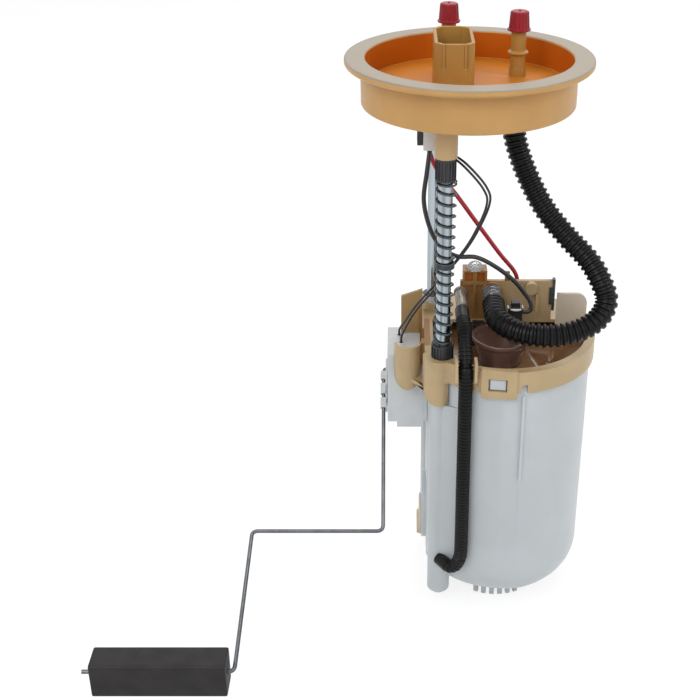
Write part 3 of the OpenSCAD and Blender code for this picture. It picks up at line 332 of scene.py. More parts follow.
def red_cap():
    """Polyethylene, moulded and dyed red: waxy with a soft gloss."""
    return finish("polyethylene_moulded_red", values()[1].red, 0.8, 6, 0.5, 0.010, 0.33, 0.05,
                  **{"IOR": 1.51, "Specular IOR Level": 0.3})


def black_nylon():
    """Nylon with carbon black, moulded: dark grey with a satin skin."""
    return finish("nylon_moulded_black", values()[1].black, 0.8, 10, 0.35, 0.012, 0.42, 0.07,
                  **{"IOR": 1.53})


def grey_nylon():
    """The same nylon on the spring seat and the slide bushes, in a lighter, dark grey."""
    return finish("nylon_moulded_dark_grey", linear("#323235"), 0.8, 8, 0.35, 0.012, 0.45, 0.07,
                  **{"IOR": 1.53})


def hose_nylon():
    """Nylon corrugated tube, blown in a mould: smooth crests that catch the light."""
    return finish("nylon_corrugated_black", values()[1].black, 0.75, 9, 0.5, 0.008, 0.3, 0.06,
                  **{"IOR": 1.53, "Specular IOR Level": 0.16})


def white_nylon():
    """Nylon, moulded in natural white: even and satin."""
    return finish("nylon_moulded_white", linear("#DEDDDA"), 0.93, 8, 0.4, 0.008, 0.4, 0.05,
                  **{"IOR": 1.53})


def plated_rod():
    """Steel tube, drawn and zinc plated: bright and bluish, with fine draw lines along it."""
    return finish("steel_drawn_zinc_plated", linear("#B2BDC3"), 0.42, 3.2, 0.25, 0.010, 0.2, 0.06,
                  (1, 1, 0.04), patch_stretch=(1, 1, 0.012), Metallic=1.0)


def spring_steel():
    """Spring wire, oil tempered: dark grey with a greasy gloss."""
    return finish("steel_wire_oil_tempered", linear("#5B6266"), 0.7, 3, 0.3, 0.010, 0.34, 0.08,
                  Metallic=0.85)


def arm_steel():
    """Steel wire of the float arm, drawn and passivated: mid grey."""
    return finish("steel_wire_drawn", linear("#6D7074"), 0.8, 7, 0.3, 0.010, 0.36, 0.08,
                  Metallic=0.9)


def can_steel():
    """Steel can of the pump, drawn and zinc plated: bright, with draw lines round it."""
    return finish("steel_can_drawn", linear("#B9BDBF"), 0.9, 14, 0.3, 0.008, 0.3, 0.05,
                  (0.05, 0.05, 1), Metallic=1.0)


def nitrile_foam():
    """Nitrile foam of the float: matte black with fine open cells on its cut faces."""
    return finish("nitrile_foam_cut", linear("#242122"), 0.72, 11, 0.45, 0.06, 0.62, 0.08,
                  **{"IOR": 1.5, "Specular IOR Level": 0.35})


def cover_brown():
    """Fluorocarbon elastomer of the pump's cover, moulded: dark brown with a wet gloss."""
    return finish("elastomer_moulded_brown", linear("#6A4D43"), 0.8, 12, 0.6, 0.008, 0.26, 0.06,
                  **{"IOR": 1.5, "Coat Weight": 0.4, "Coat Roughness": 0.2})


def lid_plastic():
    """Translucent filter plastic, moulded: tea brown where it lies over the dark filter, and paler
    and greyer in the plate that stands clear of it, painted light coming through from behind."""
    made = finish("nylon_moulded_tea", linear("#86603F"), 0.75, 16, 0.6, 0.008, 0.2, 0.05,
                  **{"IOR": 1.53, "Subsurface Weight": 0.15, "Subsurface Scale": 0.003,
                     "Subsurface Radius": (1.0, 0.7, 0.4), "Coat Weight": 0.3,
                     "Coat Roughness": 0.12})
    # Painted light: the standing plate paler and greyer, as if lit from behind
    return zoned(made, (linear("#B9AD9C"), {"x": (50, 90, 1), "z": (-158, -100, 6)}))


def ringed_nylon_painted_highlight():
    """Nylon of the hose's ringed end, polished by the mould so each ring shines; its mid grey
    is a painted highlight on the black rings.
    """
    return finish("nylon_moulded_ringed_painted_highlight", linear("#58595D"), 0.7, 6, 0.5, 0.004, 0.18, 0.04,
                  **{"IOR": 1.6, "Coat Weight": 0.6, "Coat Roughness": 0.12})


def silver_nylon():
    """Nylon of the return nipple, moulded in its natural colour: greyish with a glassy skin."""
    return finish("nylon_moulded_pale", linear("#8C8479"), 0.7, 3, 0.4, 0.004, 0.2, 0.04,
                  **{"IOR": 1.53, "Coat Weight": 0.4, "Coat Roughness": 0.1})


def clear_dome():
    """Polycarbonate of the valve's dome, moulded: clear, so that the block shows through."""
    return finish("polycarbonate_moulded_clear", linear("#E6E8EA"), 0.97, 8, 0.8, 0.004, 0.12, 0.03,
                  **{"IOR": 1.58, "Transmission Weight": 0.75})


def black_rubber():
    """Nitrile rubber, moulded: matte black."""
    return finish("nitrile_moulded_black", linear("#242426"), 0.8, 7, 0.3, 0.015, 0.6, 0.06)


def brass():
    """Brass strip, stamped: warm yellow with a dull shine."""
    return finish("brass_stamped", linear("#C9AE6B"), 0.85, 3, 0.2, 0.006, 0.3, 0.06, Metallic=1.0)


def red_wire():
    """Ethylene copolymer on the supply wire, extruded: an even red with a satin skin."""
    return finish("copolymer_extruded_red", linear("#B3202F"), 0.8, 5, 0.4, 0.006, 0.4, 0.05)


def black_wire():
    """Ethylene copolymer on the earth wire and the sender's leads, extruded: satin black."""
    return finish("copolymer_extruded_black", linear("#262426"), 0.8, 5, 0.4, 0.006, 0.4, 0.05)


def filter_paper():
    """Pleated filter paper: buff cellulose with fibres."""
    return finish("cellulose_pleated", linear("#D8C494"), 0.86, 4, 0.15, 0.03, 0.8, 0.05)


def nylon_mesh():
    """Nylon felt of the strainer, spun: cream with a woolly grain."""
    return finish("nylon_felt_spun", linear("#CFCBBB"), 0.88, 5, 0.2, 0.04, 0.8, 0.05)


def ferrite():
    """Ferrite, pressed and sintered: charcoal grey."""
    return finish("ferrite_sintered", linear("#45464A"), 0.8, 4, 0.2, 0.02, 0.6, 0.06)


def cast_aluminium():
    """Aluminium of the pump chamber, die cast: light grey with a fine sandy skin."""
    return finish("aluminium_die_cast", linear("#A9ABAD"), 0.88, 6, 0.3, 0.02, 0.42, 0.06,
                  Metallic=1.0)


def wound_copper():
    """Lacquered copper winding: fine wires laid along the armature."""
    return finish("copper_wound_lacquered", linear("#B5672F"), 0.7, 3, 0.35, 0.05, 0.35, 0.08,
                  (1, 1, 0.05), Metallic=0.9)


def phenolic_brown():
    """Phenolic resin of the impeller, moulded with glass: brown and satin."""
    return finish("phenolic_moulded", linear("#6E5136"), 0.85, 4, 0.2, 0.01, 0.45, 0.05)


def ceramic_card():
    """Ceramic card with printed resistor tracks: white, slightly glossy."""
    return finish("ceramic_printed", linear("#E3E3DC"), 0.95, 9, 0.3, 0.004, 0.25, 0.04)


FINISHES = {f.__name__: f for f in (
    cup_acetal, holder_acetal, pale_acetal, milky_acetal, grey_acetal, red_cap, black_nylon,
    grey_nylon, hose_nylon, ringed_nylon_painted_highlight, silver_nylon, white_nylon, plated_rod, spring_steel,
    arm_steel, can_steel, nitrile_foam, cover_brown, lid_plastic, clear_dome, black_rubber, brass,
    red_wire, black_wire, filter_paper, nylon_mesh, ferrite, cast_aluminium, wound_copper,
    phenolic_brown, ceramic_card)}


# Surfaces

def link(name, mesh, finish_name):
    """Puts a mesh into the scene as a piece with its finish."""
    mesh.name = name
    made = bpy.data.objects.new(name, mesh)
    bpy.context.scene.collection.objects.link(made)
    mesh.materials.clear()
    mesh.materials.append(material(finish_name))
    return made


def smooth(mesh):
    """Smooth shading with sharp edges above an angle."""
    mesh.polygons.foreach_set("use_smooth", np.ones(len(mesh.polygons), bool))
    mesh.set_sharp_from_angle(angle=SHARP_ANGLE)


def grid_surface(name, points, finish_name):
    """A surface on a grid of points (rows along, columns round): each square of the grid is a
    face, the columns wrap round, and the first and last row are closed by a flat face."""
    rows, columns = points.shape[:2]
    here = np.arange(rows * columns).reshape(rows, columns)
    after = np.roll(here, -1, axis=1)
    squares = np.stack([here[:-1], after[:-1], after[1:], here[1:]], axis=-1)
    faces = [*squares.reshape(-1, 4).tolist(), here[0, ::-1].tolist(), here[-1].tolist()]
    mesh = bpy.data.meshes.new(name)
    mesh.from_pydata(points.reshape(-1, 3).tolist(), [], faces)
    mesh.validate()
    work = bmesh.new()
    work.from_mesh(mesh)
    bmesh.ops.recalc_face_normals(work, faces=work.faces)
    work.to_mesh(mesh)
    work.free()
    smooth(mesh)
    return link(name, mesh, finish_name)


def eased(profile, cut, steps=6):
    """A profile with soft corners: each inner corner becomes the curve that starts and ends a cut
    away from it, at most half way to its neighbour, and is drawn towards it."""
    p = np.asarray(profile, float)
    back, ahead = p[:-2] - p[1:-1], p[2:] - p[1:-1]
    far_back, far_ahead = (np.linalg.norm(v, axis=1, keepdims=True) for v in (back, ahead))
    start = p[1:-1] + back / far_back * np.minimum(cut, far_back / 2)
    end = p[1:-1] + ahead / far_ahead * np.minimum(cut, far_ahead / 2)
    t = np.linspace(0, 1, steps)[None, :, None]
    curve = (1 - t) ** 2 * start[:, None] + 2 * t * (1 - t) * p[1:-1, None] + t ** 2 * end[:, None]
    return np.concatenate([p[:1], curve.reshape(-1, p.shape[1]), p[-1:]])


def turned(name, profile, centre, finish_name, columns=128, ripple=None, forward=False):
    """A turned surface: a profile of radius and height in millimetres carried round the upright
    axis at a centre, or round an axis that points to the front. Ripple adds to the radius, by
    height, radius and angle."""
    p = np.asarray(profile, float)
    angle = np.linspace(0, TURN, columns, endpoint=False)
    radius = np.repeat(np.maximum(p[:, :1], POLE_RADIUS), columns, axis=1)
    if ripple is not None:
        radius = radius + ripple(p[:, 1:], radius, angle[None])
    points = np.stack([radius * np.cos(angle), radius * np.sin(angle),
                       np.repeat(p[:, 1:], columns, axis=1)], axis=-1)
    if forward:
        points = points[..., (0, 2, 1)] * (1, -1, 1)
    return grid_surface(name, (points + np.asarray(centre, float)) * MM, finish_name)


def curve_through(points):
    """A smooth line through points: between two neighbours it is the cubic whose slope at each
    point is half the step from the point before to the point after."""
    steps = 24
    p = np.asarray(points, float)
    padded = np.concatenate([p[:1], p, p[-1:]])
    a, b, c, d = (padded[i:len(p) - 1 + i, None] for i in range(4))
    t = np.linspace(0, 1, steps, endpoint=False)[None, :, None]
    line = 0.5 * (2 * b + (c - a) * t + (2 * a - 5 * b + 4 * c - d) * t ** 2
                  + (3 * b - a - 3 * c + d) * t ** 3)
    return np.concatenate([line.reshape(-1, 3), p[-1:]])


def evenly(line, step):
    """The line again with points an equal step apart, and the distance of each from its start."""
    along = np.concatenate([[0], np.cumsum(np.linalg.norm(np.diff(line, axis=0), axis=1))])
    at = np.linspace(0, along[-1], max(2, int(math.ceil(along[-1] / step)) + 1))
    return np.stack([np.interp(at, along, line[:, k]) for k in range(3)], axis=1), at


def carried_ring(line, radii, sides, across):
    """Rings of the given radii carried along a line: each ring lies square to the line, its
    first axis square to both the line and the direction across."""
    slope = np.gradient(line, axis=0)
    slope /= np.linalg.norm(slope, axis=1, keepdims=True)
    first = np.cross(slope, np.asarray(across, float))
    first /= np.linalg.norm(first, axis=1, keepdims=True)
    second = np.cross(slope, first)
    angle = np.linspace(0, TURN, sides, endpoint=False)
    ring = (np.cos(angle)[None, :, None] * first[:, None]
            + np.sin(angle)[None, :, None] * second[:, None])
    return line[:, None] + np.asarray(radii)[:, None, None] * ring


def rounded_block(name, low, high, radius, finish_name):
    """A block between two corners in millimetres: rings of a rounded rectangle one above another,
    drawn in towards both ends along a quarter circle of the same radius."""
    low, high = np.asarray(low, float), np.asarray(high, float)
    half, middle = (high - low) / 2, (high + low) / 2
    turn = np.linspace(0, math.pi / 2, 6)
    inset = np.concatenate([radius * (1 - np.sin(turn)), radius * (1 - np.sin(turn[::-1]))])
    height = np.concatenate([low[2] + radius * (1 - np.cos(turn)),
                             high[2] - radius * (1 - np.cos(turn[::-1]))])
    columns = 32
    angle = np.linspace(0, TURN, columns, endpoint=False) + TURN / (2 * columns)
    outward = np.stack([np.cos(angle), np.sin(angle)], axis=-1)
    corner = np.sign(outward) * (half[:2] - radius)
    plan = corner[None] + (radius - inset[:, None, None]) * outward[None] + middle[:2]
    points = np.concatenate([plan, np.repeat(height[:, None, None], len(angle), axis=1)], axis=-1)
    return grid_surface(name, points * MM, finish_name)


def moved(mesh, change):
    """Gives a mesh the places that a function makes of its points in millimetres."""
    flat = np.empty(len(mesh.vertices) * 3, np.float32)
    mesh.vertices.foreach_get("co", flat)
    points = change(flat.reshape(-1, 3).astype(float) / MM) * MM
    mesh.vertices.foreach_set("co", points.astype(np.float32).ravel())
    mesh.update()


def cut_away(piece, cutter):
    """Takes the cutter's solid out of a piece, and deletes the cutter."""
    cut = piece.modifiers.new("cut", "BOOLEAN")
    cut.operation, cut.object, cut.solver = "DIFFERENCE", cutter, "EXACT"
    graph = bpy.context.evaluated_depsgraph_get()
    rest = bpy.data.meshes.new_from_object(piece.evaluated_get(graph))
    piece.modifiers.clear()
    piece.data = rest
    bpy.data.objects.remove(cutter)


def rounded_copy(node, finish_name, width, segments=2, change=None):
    """The node's own mesh, its loose triangles merged and its flat faces joined, with smooth round
    faces and edges rounded to a width in millimetres. It stands for the node. A change may alter
    it first."""
    mesh = frame["nodes"][node].data.copy()
    work = bmesh.new()
    work.from_mesh(mesh)
    bmesh.ops.remove_doubles(work, verts=work.verts, dist=WELD)
    bmesh.ops.dissolve_limit(work, angle_limit=FLAT_ANGLE, verts=work.verts, edges=work.edges)
    work.to_mesh(mesh)
    work.free()
    made = link(node + "_piece", mesh, finish_name)
    if change is not None:
        change(made)
    smooth(made.data)
    if width > 0:
        rounding = made.modifiers.new("edges", "BEVEL")
        rounding.width, rounding.segments = width * MM, segments
        rounding.limit_method, rounding.angle_limit = "ANGLE", BEVEL_ANGLE
        rounding.use_clamp_overlap = False
        rounding.harden_normals = True
    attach(made, frame["nodes"][node]["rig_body"])
    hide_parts(node)


def dress(finish_name, *nodes):
    """Gives CAD nodes that stay as they are a finish."""
    for node in nodes:
        mesh = frame["nodes"][node].data
        mesh.materials.clear()
        mesh.materials.append(material(finish_name))


# Pieces

FLANGE, RESERVOIR = "flange_group", "reservoir_group"
# Routes of the hoses and wires, from the points of the CAD solids
HOSE = np.array([
    (26.7, 15, -16), (26.7, 15, -25), (26.7, 15, -34), (27, 15, -44), (31, 12, -57), (37, 8, -70),
    (45, 2, -83), (56, -5, -95), (69, -14, -107), (76, -22, -118), (78, -26, -126),
    (74, -31, -133), (65, -35, -138), (52, -37, -141), (38, -37, -141), (27, -33, -140),
    (19.5, -25, -138.6), (17.5, -16, -138), (17.5, -3, -138)]) * MM
CUFF = np.array([(17.5, -4, -138), (17.5, 1, -138), (17.5, 6, -138), (17.5, 10.6, -138)]) * MM
JET = np.array([
    (-1, -12.1, -138), (-1, -18, -138.4), (-0.5, -30, -140), (-0.3, -40, -144.5),
    (0, -48.2, -154), (0, -50.6, -166), (0, -50.6, -230), (0, -50.6, -276), (-0.8, -50.4, -284.5),
    (-3, -49.8, -290), (-6.2, -48.2, -292.5), (-8, -46, -292.8)]) * MM
JET_CUFF = np.array([(-7.4, -46.8, -292.7), (-8, -46, -292.8), (-10.3, -42.7, -292.8),
                     (-12.4, -39.7, -292.8)]) * MM
BLACK_WIRE = np.array([
    (-20.6, -16, -40.1), (-20.6, -16, -43), (-22, -20, -53), (-23.5, -22, -68), (-20, -21.5, -84),
    (-14, -21, -95), (-5, -18, -102), (6, -15, -104), (17, -12, -111), (28, -9, -121),
    (35, -8, -130), (38, -8.6, -134.5), (38.6, -9.6, -138), (37, -10, -140),
    (33.5, -10, -140)]) * MM
RED_WIRE = np.array([
    (-21, -10, -40.1), (-21, -10, -43), (-16.5, -11, -54), (-3.7, -13, -71), (8.3, -3, -91),
    (21, 8, -112), (31.1, 16.5, -127.7), (33.5, 18.6, -139), (33.5, 19, -149),
    (33.5, 19, -155.9)]) * MM
LEAD = np.array([
    (-18.6, -5.8, -40.1), (-18.6, -5.8, -42), (-12, -13, -44.5), (-3, -20, -49),
    (8, -21.5, -61.5), (10, -22, -71), (3, -22.7, -88.6), (-6, -23, -103.1)])
# The second lead's distance from the first at each of those points
LEADS_APART = np.array([(1.1, 1.4, 0), (1.1, 1.4, 0), (1.3, 1.5, 0.2), (1.65, 1.67, 0.5),
                        (1.8, 1.6, 0.5), (1.7, 1.4, 0.2), (1.4, 1.4, -0.1), (1.1, 1.4, 0)])
FRONT_LEAD = np.concatenate([LEAD, [
    (-17.5, -19.5, -121.9), (-24.9, -13, -134.6), (-31, -7.5, -147.2), (-35.2, -2, -160),
    (-35.4, -1.5, -165.5)]]) * MM
REAR_LEAD = np.concatenate([LEAD + LEADS_APART, [
    (-18.9, -16, -123), (-27.1, -8, -137.1), (-32.8, -1, -149.9), (-36.4, 7.2, -160),
    (-36.5, 7.7, -165.5)]]) * MM

ARM_BODY = "sender_arm"
ARM_RADIUS, ARM_BEND = 1.15, 3.0
PIVOT_Z, ARM_X, HOOK_AT, BEND_Y, BEND_Z = -198.2, -46.0, 13.5, -59.0, -258.0
ARM_LEAN = math.atan2(-BEND_Y, PIVOT_Z - BEND_Z)
HOOK_Y, HOOK_Z = HOOK_AT * math.sin(ARM_LEAN), PIVOT_Z + HOOK_AT * math.cos(ARM_LEAN)
ARM = np.array([
    (-43.6, HOOK_Y, HOOK_Z), (ARM_X, HOOK_Y, HOOK_Z), (ARM_X, BEND_Y, BEND_Z),
    (-122, BEND_Y, BEND_Z), (-122, -155, -276), (-201, -155, -276)])


def corrugated(name, route, radius, groove, pitch, across, finish_name, sides=48, plain=0.0):
    """A corrugated tube: rings along a smooth line, their radius falling from the crest by a
    squared-off cosine of the distance along the line. The first stretch can stay plain."""
    rings_in_pitch, trough, rise = 12, 0.12, 0.66
    line, at = evenly(curve_through(route), pitch / rings_in_pitch)
    wave = 0.5 + 0.5 * np.cos(TURN * (at - plain) / pitch)
    wave = np.clip((wave - trough) / rise, 0, 1)
    wave = np.where(at < plain, 1, wave * wave * (3 - 2 * wave))
    return grid_surface(name, carried_ring(line, radius - groove * (1 - wave), sides, across),
                        finish_name), line


def bent_wire(name, corners, radius, bend, finish_name):
    """A wire bent at corners: each inner corner becomes a curve of the bend's size that starts
    and ends a bend away from it, and a ring is carried along the line."""
    line = eased(corners, bend * 1.25, 10)
    return grid_surface(name, carried_ring(line * MM, np.full(len(line), radius * MM), 20,
                                           (0.3, 0.5, 1)), finish_name)


def stretched(piece):
    """Bakes the place of a piece between flange and reservoir into its mesh."""
    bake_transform(piece)


def stands_for(piece, body, node):
    """Puts a piece on its body in place of a node."""
    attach(piece, body)
    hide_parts(node)
    return piece


def capped_nipple(name, x, y):
    """A transport cap: a turned cap with a thin lip, a tapered skirt and a small point on top.
    Sixteen shallow ribs stand on the skirt where the sixteenfold cosine of the angle is high."""
    top, height, ribs_round, rib_height = 24.3, 10.7, 16, 0.3
    low, roof = top - height, top - 0.6
    profile = eased([(0, roof - 0.6), (4.06, roof - 0.6), (4.06, low), (6.2, low), (6.2, low + 0.9),
                     (5.35, low + 1.0), (5.2, low + 1.6), (4.6, roof - 0.5), (4.2, roof),
                     (0.9, roof), (0.5, top), (0, top)], 0.25)

    def ribs(z, radius, angle):
        """Height of the ribs over the skirt, by height, radius and angle."""
        skirt = (z > low + 1.2) & (z < roof - 0.3) & (radius > 4.2)
        return rib_height * skirt * np.clip(1.6 * np.cos(ribs_round * angle) - 0.5, 0, 1)

    piece = turned(name, profile, (x, y, 0), "red_cap", 192, ribs)
    return stands_for(piece, FLANGE, "transport_caps")


class PUMP_OT_flange(bpy.types.Operator):
    """Makes the flange with its shroud and nipples"""
    bl_idname = "pump.flange"
    bl_label = "Flange"

    def execute(self, context):
        rounded_copy("flange", "cup_acetal", 0.4)
        capped_nipple("cap_supply", 26.7, 15)
        capped_nipple("cap_vent", -9.7, 34)
        rounded_copy("under_plug", "white_nylon", 0.3)
        rounded_copy("plug_lock", "black_nylon", 0.25)
        dress("brass", "connector_terminals")
        return {"FINISHED"}


class PUMP_OT_rods(bpy.types.Operator):
    """Makes the guide rods, the spring's seat and the bushes"""
    bl_idname = "pump.rods"
    bl_label = "Rods and spring"

    def execute(self, context):
        for node in ("guide_rod_front", "guide_rod_rear"):
            rounded_copy(node, "plated_rod", 0)
        for node in ("spring_seat", "slide_bush_front", "slide_bush_rear"):
            rounded_copy(node, "grey_nylon", 0.12)
        return {"FINISHED"}


# Pitch of the open turns, and how far the top turn stands to the right of the rod's axis
SPRING_PITCH, SPRING_LEAN = 6 * MM, 0.55 * MM


class PUMP_OT_spring(bpy.types.Operator):
    """Winds the spring: a closed turn at each end, three in the middle and open turns between,
    with the radius and the shift to the right shrinking downwards"""
    bl_idname = "pump.spring"
    bl_label = "Spring"

    def execute(self, context):
        sizes = values()[0]
        low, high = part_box("spring_front")
        top, end = high[2] - sizes.spring_wire, low[2] + sizes.spring_wire
        closed = 2.2 * sizes.spring_wire
        open_turns = (top - end - 5 * closed) / SPRING_PITCH
        half = open_turns / 2
        turns = np.array([0, 1, 1 + half, 4 + half, 4 + open_turns, 5 + open_turns])
        fall = half * SPRING_PITCH
        drops = np.cumsum([0, closed, fall, 3 * closed, fall, closed])
        turn = np.linspace(0, turns[-1], int(turns[-1] * 36))
        share = turn / turns[-1]
        radius = sizes.spring_top + (sizes.spring_low - sizes.spring_top) * share
        lean = SPRING_LEAN * (1 - share)
        middle = (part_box("guide_rod_front")[0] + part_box("guide_rod_front")[1]) / 2
        line = np.stack([middle[0] + lean + radius * np.cos(TURN * turn),
                         middle[1] + radius * np.sin(TURN * turn),
                         top - np.interp(turn, turns, drops)], axis=1)
        made = grid_surface("spring", carried_ring(line, np.full(len(line), sizes.spring_wire), 10,
                                                   (0, 0, 1)), "spring_steel")
        stretched(made)
        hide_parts("spring_front")
        return {"FINISHED"}


class PUMP_OT_hoses(bpy.types.Operator):
    """Makes the corrugated supply hose and jet tube"""
    bl_idname = "pump.hoses"
    bl_label = "Hoses"

    def execute(self, context):
        sizes = values()[0]
        hose, line = corrugated("supply_hose_piece", HOSE, sizes.hose_radius, sizes.hose_groove,
                                sizes.hose_pitch, (0.7, 0.7, -0.3), "hose_nylon")
        stretched(hose)
        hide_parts("supply_hose")
        # The ringed end's mid grey finish is a painted highlight of its rings
        cuff = corrugated("hose_cuff", CUFF, sizes.cuff_radius, sizes.cuff_groove,
                          sizes.hose_pitch, (0, 0, 1), "ringed_nylon_painted_highlight", 64)[0]
        stands_for(cuff, RESERVOIR, "supply_hose")
        tube, line = corrugated("jet_tube_piece", JET, sizes.jet_radius, sizes.jet_groove,
                                sizes.jet_pitch, (1, 0.1, 0.1), "hose_nylon", 36, sizes.jet_plain)
        stands_for(tube, RESERVOIR, "jet_tube")
        cuff = corrugated("jet_cuff", JET_CUFF, sizes.jet_radius, 0, sizes.jet_pitch, (0, 0, 1),
                          "hose_nylon", 36)[0]
        stands_for(cuff, RESERVOIR, "jet_tube")
        return {"FINISHED"}


class PUMP_OT_wires(bpy.types.Operator):
    """Makes the pump wires and the sender leads"""
    bl_idname = "pump.wires"
    bl_label = "Wires"

    def execute(self, context):
        sizes = values()[0]
        for name, route, radius, finish_name, node in (
                ("wire_black", BLACK_WIRE, sizes.wire_radius, "black_wire", "pump_wire_black"),
                ("wire_red", RED_WIRE, sizes.wire_radius, "red_wire", "pump_wire_red"),
                ("lead_front", FRONT_LEAD, sizes.lead_radius, "black_wire", "sender_wires"),
                ("lead_rear", REAR_LEAD, sizes.lead_radius, "black_wire", "sender_wires")):
            line = evenly(curve_through(route), 1.5 * MM)[0]
            across = (0.9, -0.5, 0.1) if node == "pump_wire_red" else (0.2, 1, 0)
            made = grid_surface(name, carried_ring(line, np.full(len(line), radius), 16, across),
                                finish_name)
            stretched(made)
            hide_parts(node)
        return {"FINISHED"}


# The reservoir's axis, floor, radius, fillet in the solid and fillet that the photograph shows
RES_X, RES_LOW, RES_RADIUS, RES_FILLET, RES_CORNER = 24.0, -321.0, 51.0, 27.5, 24.5
FILLET_FACETS = 8
# Where the slanted cut of its floor starts on the left, and how steeply it rises
FLAT_X, FLAT_RISE = -3, 19 / 17
# The foot ring, half of each arc that stays in degrees, and how far the cutter passes the ring
FOOT_RADIUS, FOOT_WALL, FOOT_LOW, FOOT_HALF_ARC = 30.0, 2.4, -329.0, 30
FOOT_SPARE, FOOT_LIFT = 0.4, 0.03


def under_side(radius, x):
    """Height of the reservoir's underside: the fillet's eight facets, or the slanted cut on the
    left where that is higher."""
    turn = np.radians(np.arange(FILLET_FACETS + 1) * 90 / FILLET_FACETS)
    fillet = np.interp(radius, RES_RADIUS - RES_FILLET + RES_FILLET * np.sin(turn),
                       RES_LOW + RES_FILLET * (1 - np.cos(turn)))
    return np.maximum(fillet, RES_LOW - 1 - (x - FLAT_X) * FLAT_RISE)


def two_foot_arcs(piece):
    """Leaves two arcs of the toothed foot ring, at the front and at the rear. What is cut is a
    ring profile carried round each side, its top along the reservoir's underside."""
    radii = np.array([FOOT_RADIUS + FOOT_SPARE, FOOT_RADIUS - FOOT_WALL / 2,
                      FOOT_RADIUS - FOOT_WALL - FOOT_SPARE])
    half = 90 - FOOT_HALF_ARC
    for side in (0, 180):
        angle = np.radians(np.linspace(side - half, side + half, 61))[:, None]
        x = RES_X + radii * np.cos(angle)
        top = np.stack([x, radii * np.sin(angle), under_side(radii, x) + FOOT_LIFT], axis=-1)
        low = top[:, ::-1] * (1, 1, 0) + (0, 0, FOOT_LOW - 1)
        cut_away(piece, grid_surface("foot_cutter", np.concatenate([top, low], axis=1) * MM,
                                     "milky_acetal"))


def fuller_corner(points):
    """Draws the reservoir's lower edge out to a smaller fillet: within the fillet, the distances
    from the wall and from the floor shrink by the ratio of the radii. The change fades out
    towards the floor and towards the legs on the left."""
    flat = points[:, :2] - (RES_X, 0)
    radius = np.linalg.norm(flat, axis=1)
    inward, up = RES_RADIUS - radius, points[:, 2] - RES_LOW
    inside = (inward > -0.1) & (inward < RES_FILLET) & (up > 0) & (up < RES_FILLET)
    angle = np.degrees(np.arctan2(flat[:, 1], flat[:, 0]))
    fade = np.clip((100 - np.abs(angle)) / 30, 0, 1) * np.clip((up - 1) / 3, 0, 1) * inside
    shrink = fade * (1 - RES_CORNER / RES_FILLET)
    moved_radius = radius + inward * shrink
    result = points.copy()
    result[:, :2] = (RES_X, 0) + flat * (moved_radius / np.maximum(radius, 1e-6))[:, None]
    result[:, 2] -= up * shrink
    return result


def shaped_reservoir(piece):
    """The reservoir's feet and lower edge as the photograph shows them."""
    two_foot_arcs(piece)
    moved(piece.data, fuller_corner)


# The front rod, and the radius of its socket in the solid and in the photograph
ROD_AT = np.array([-12.5, -33.0])
SLEEVE_RADIUS, SLEEVE_WIDE, SLEEVE_LOW, SLEEVE_TOP = 7.7, 9.3, -190, -150
# The back of the clip's left post: where it is, and how far back it is drawn
POST_X, POST_Z, POST_HALF_WIDTH, POST_HALF_HEIGHT = -5.3, -156, 0.85, 6.05
POST_FACE, POST_BACK = -46.0, -43.4


def fitted_holder(points):
    """Widens the socket of the front guide to the left and to the front: its outer face keeps its
    right side and takes a larger radius. The clip's left post reaches back to the band."""
    x, y, z = points.T
    offset = points[:, :2] - ROD_AT
    radius = np.linalg.norm(offset, axis=1)
    outer = (np.abs(radius - SLEEVE_RADIUS) < 0.12) & (z > SLEEVE_LOW) & (z < SLEEVE_TOP)
    axis = ROD_AT + (SLEEVE_RADIUS - SLEEVE_WIDE, 0)
    result = points.copy()
    result[outer, :2] = axis + offset[outer] * SLEEVE_WIDE / SLEEVE_RADIUS
    post = ((np.abs(y - POST_FACE) < 0.05) & (np.abs(x - POST_X) < POST_HALF_WIDTH)
            & (np.abs(z - POST_Z) < POST_HALF_HEIGHT))
    result[post, 1] = POST_BACK
    return result


class PUMP_OT_reservoir(bpy.types.Operator):
    """Makes the reservoir with its legs and toothed feet"""
    bl_idname = "pump.reservoir"
    bl_label = "Reservoir"

    def execute(self, context):
        rounded_copy("reservoir", "milky_acetal", 0.4, change=shaped_reservoir)
        rounded_copy("jet_pump_cover", "pale_acetal", 0.3)
        rounded_copy("foot_valve", "black_rubber", 0)
        return {"FINISHED"}


def rounded_dome():
    """The valve's dome: a quarter ellipse over a thin flat lip, turned."""
    lip, lip_height, radius, rise = 5, 0.8, 4.6, 3.6
    turn = np.linspace(0, math.pi / 2, 24)
    dome = np.stack([radius * np.cos(turn), lip_height + rise * np.sin(turn)], axis=1)
    profile = np.concatenate([[(0, 0), (lip, 0), (lip, lip_height)], dome])
    stands_for(turned("valve_dome_piece", profile, (7.5, 14.5, -124), "clear_dome"),
               RESERVOIR, "valve_dome")


def ringed_nipple():
    """The return nipple: a collar and five narrow barbs on a thin tube, turned and laid forward."""
    tube, barb, slope, bore, end, depth = 2.5, 3.3, 2.25, 1.6, 24, 1
    barbs = [(radius, start + along) for start in (4, 7.2, 10.4, 13.6, 16.8)
             for radius, along in ((tube, 0), (barb, 0.05), (tube, slope))]
    profile = [(0, 0), (3.8, 0), (3.8, 1.6), (tube, 1.6), *barbs, (tube, end), (bore, end),
               (bore, end - depth), (0, end - depth)]
    stands_for(turned("return_nipple_piece", eased(profile, 0.15, 4), (-1, 12, -138),
                      "silver_nylon", 64, forward=True), RESERVOIR, "return_nipple")


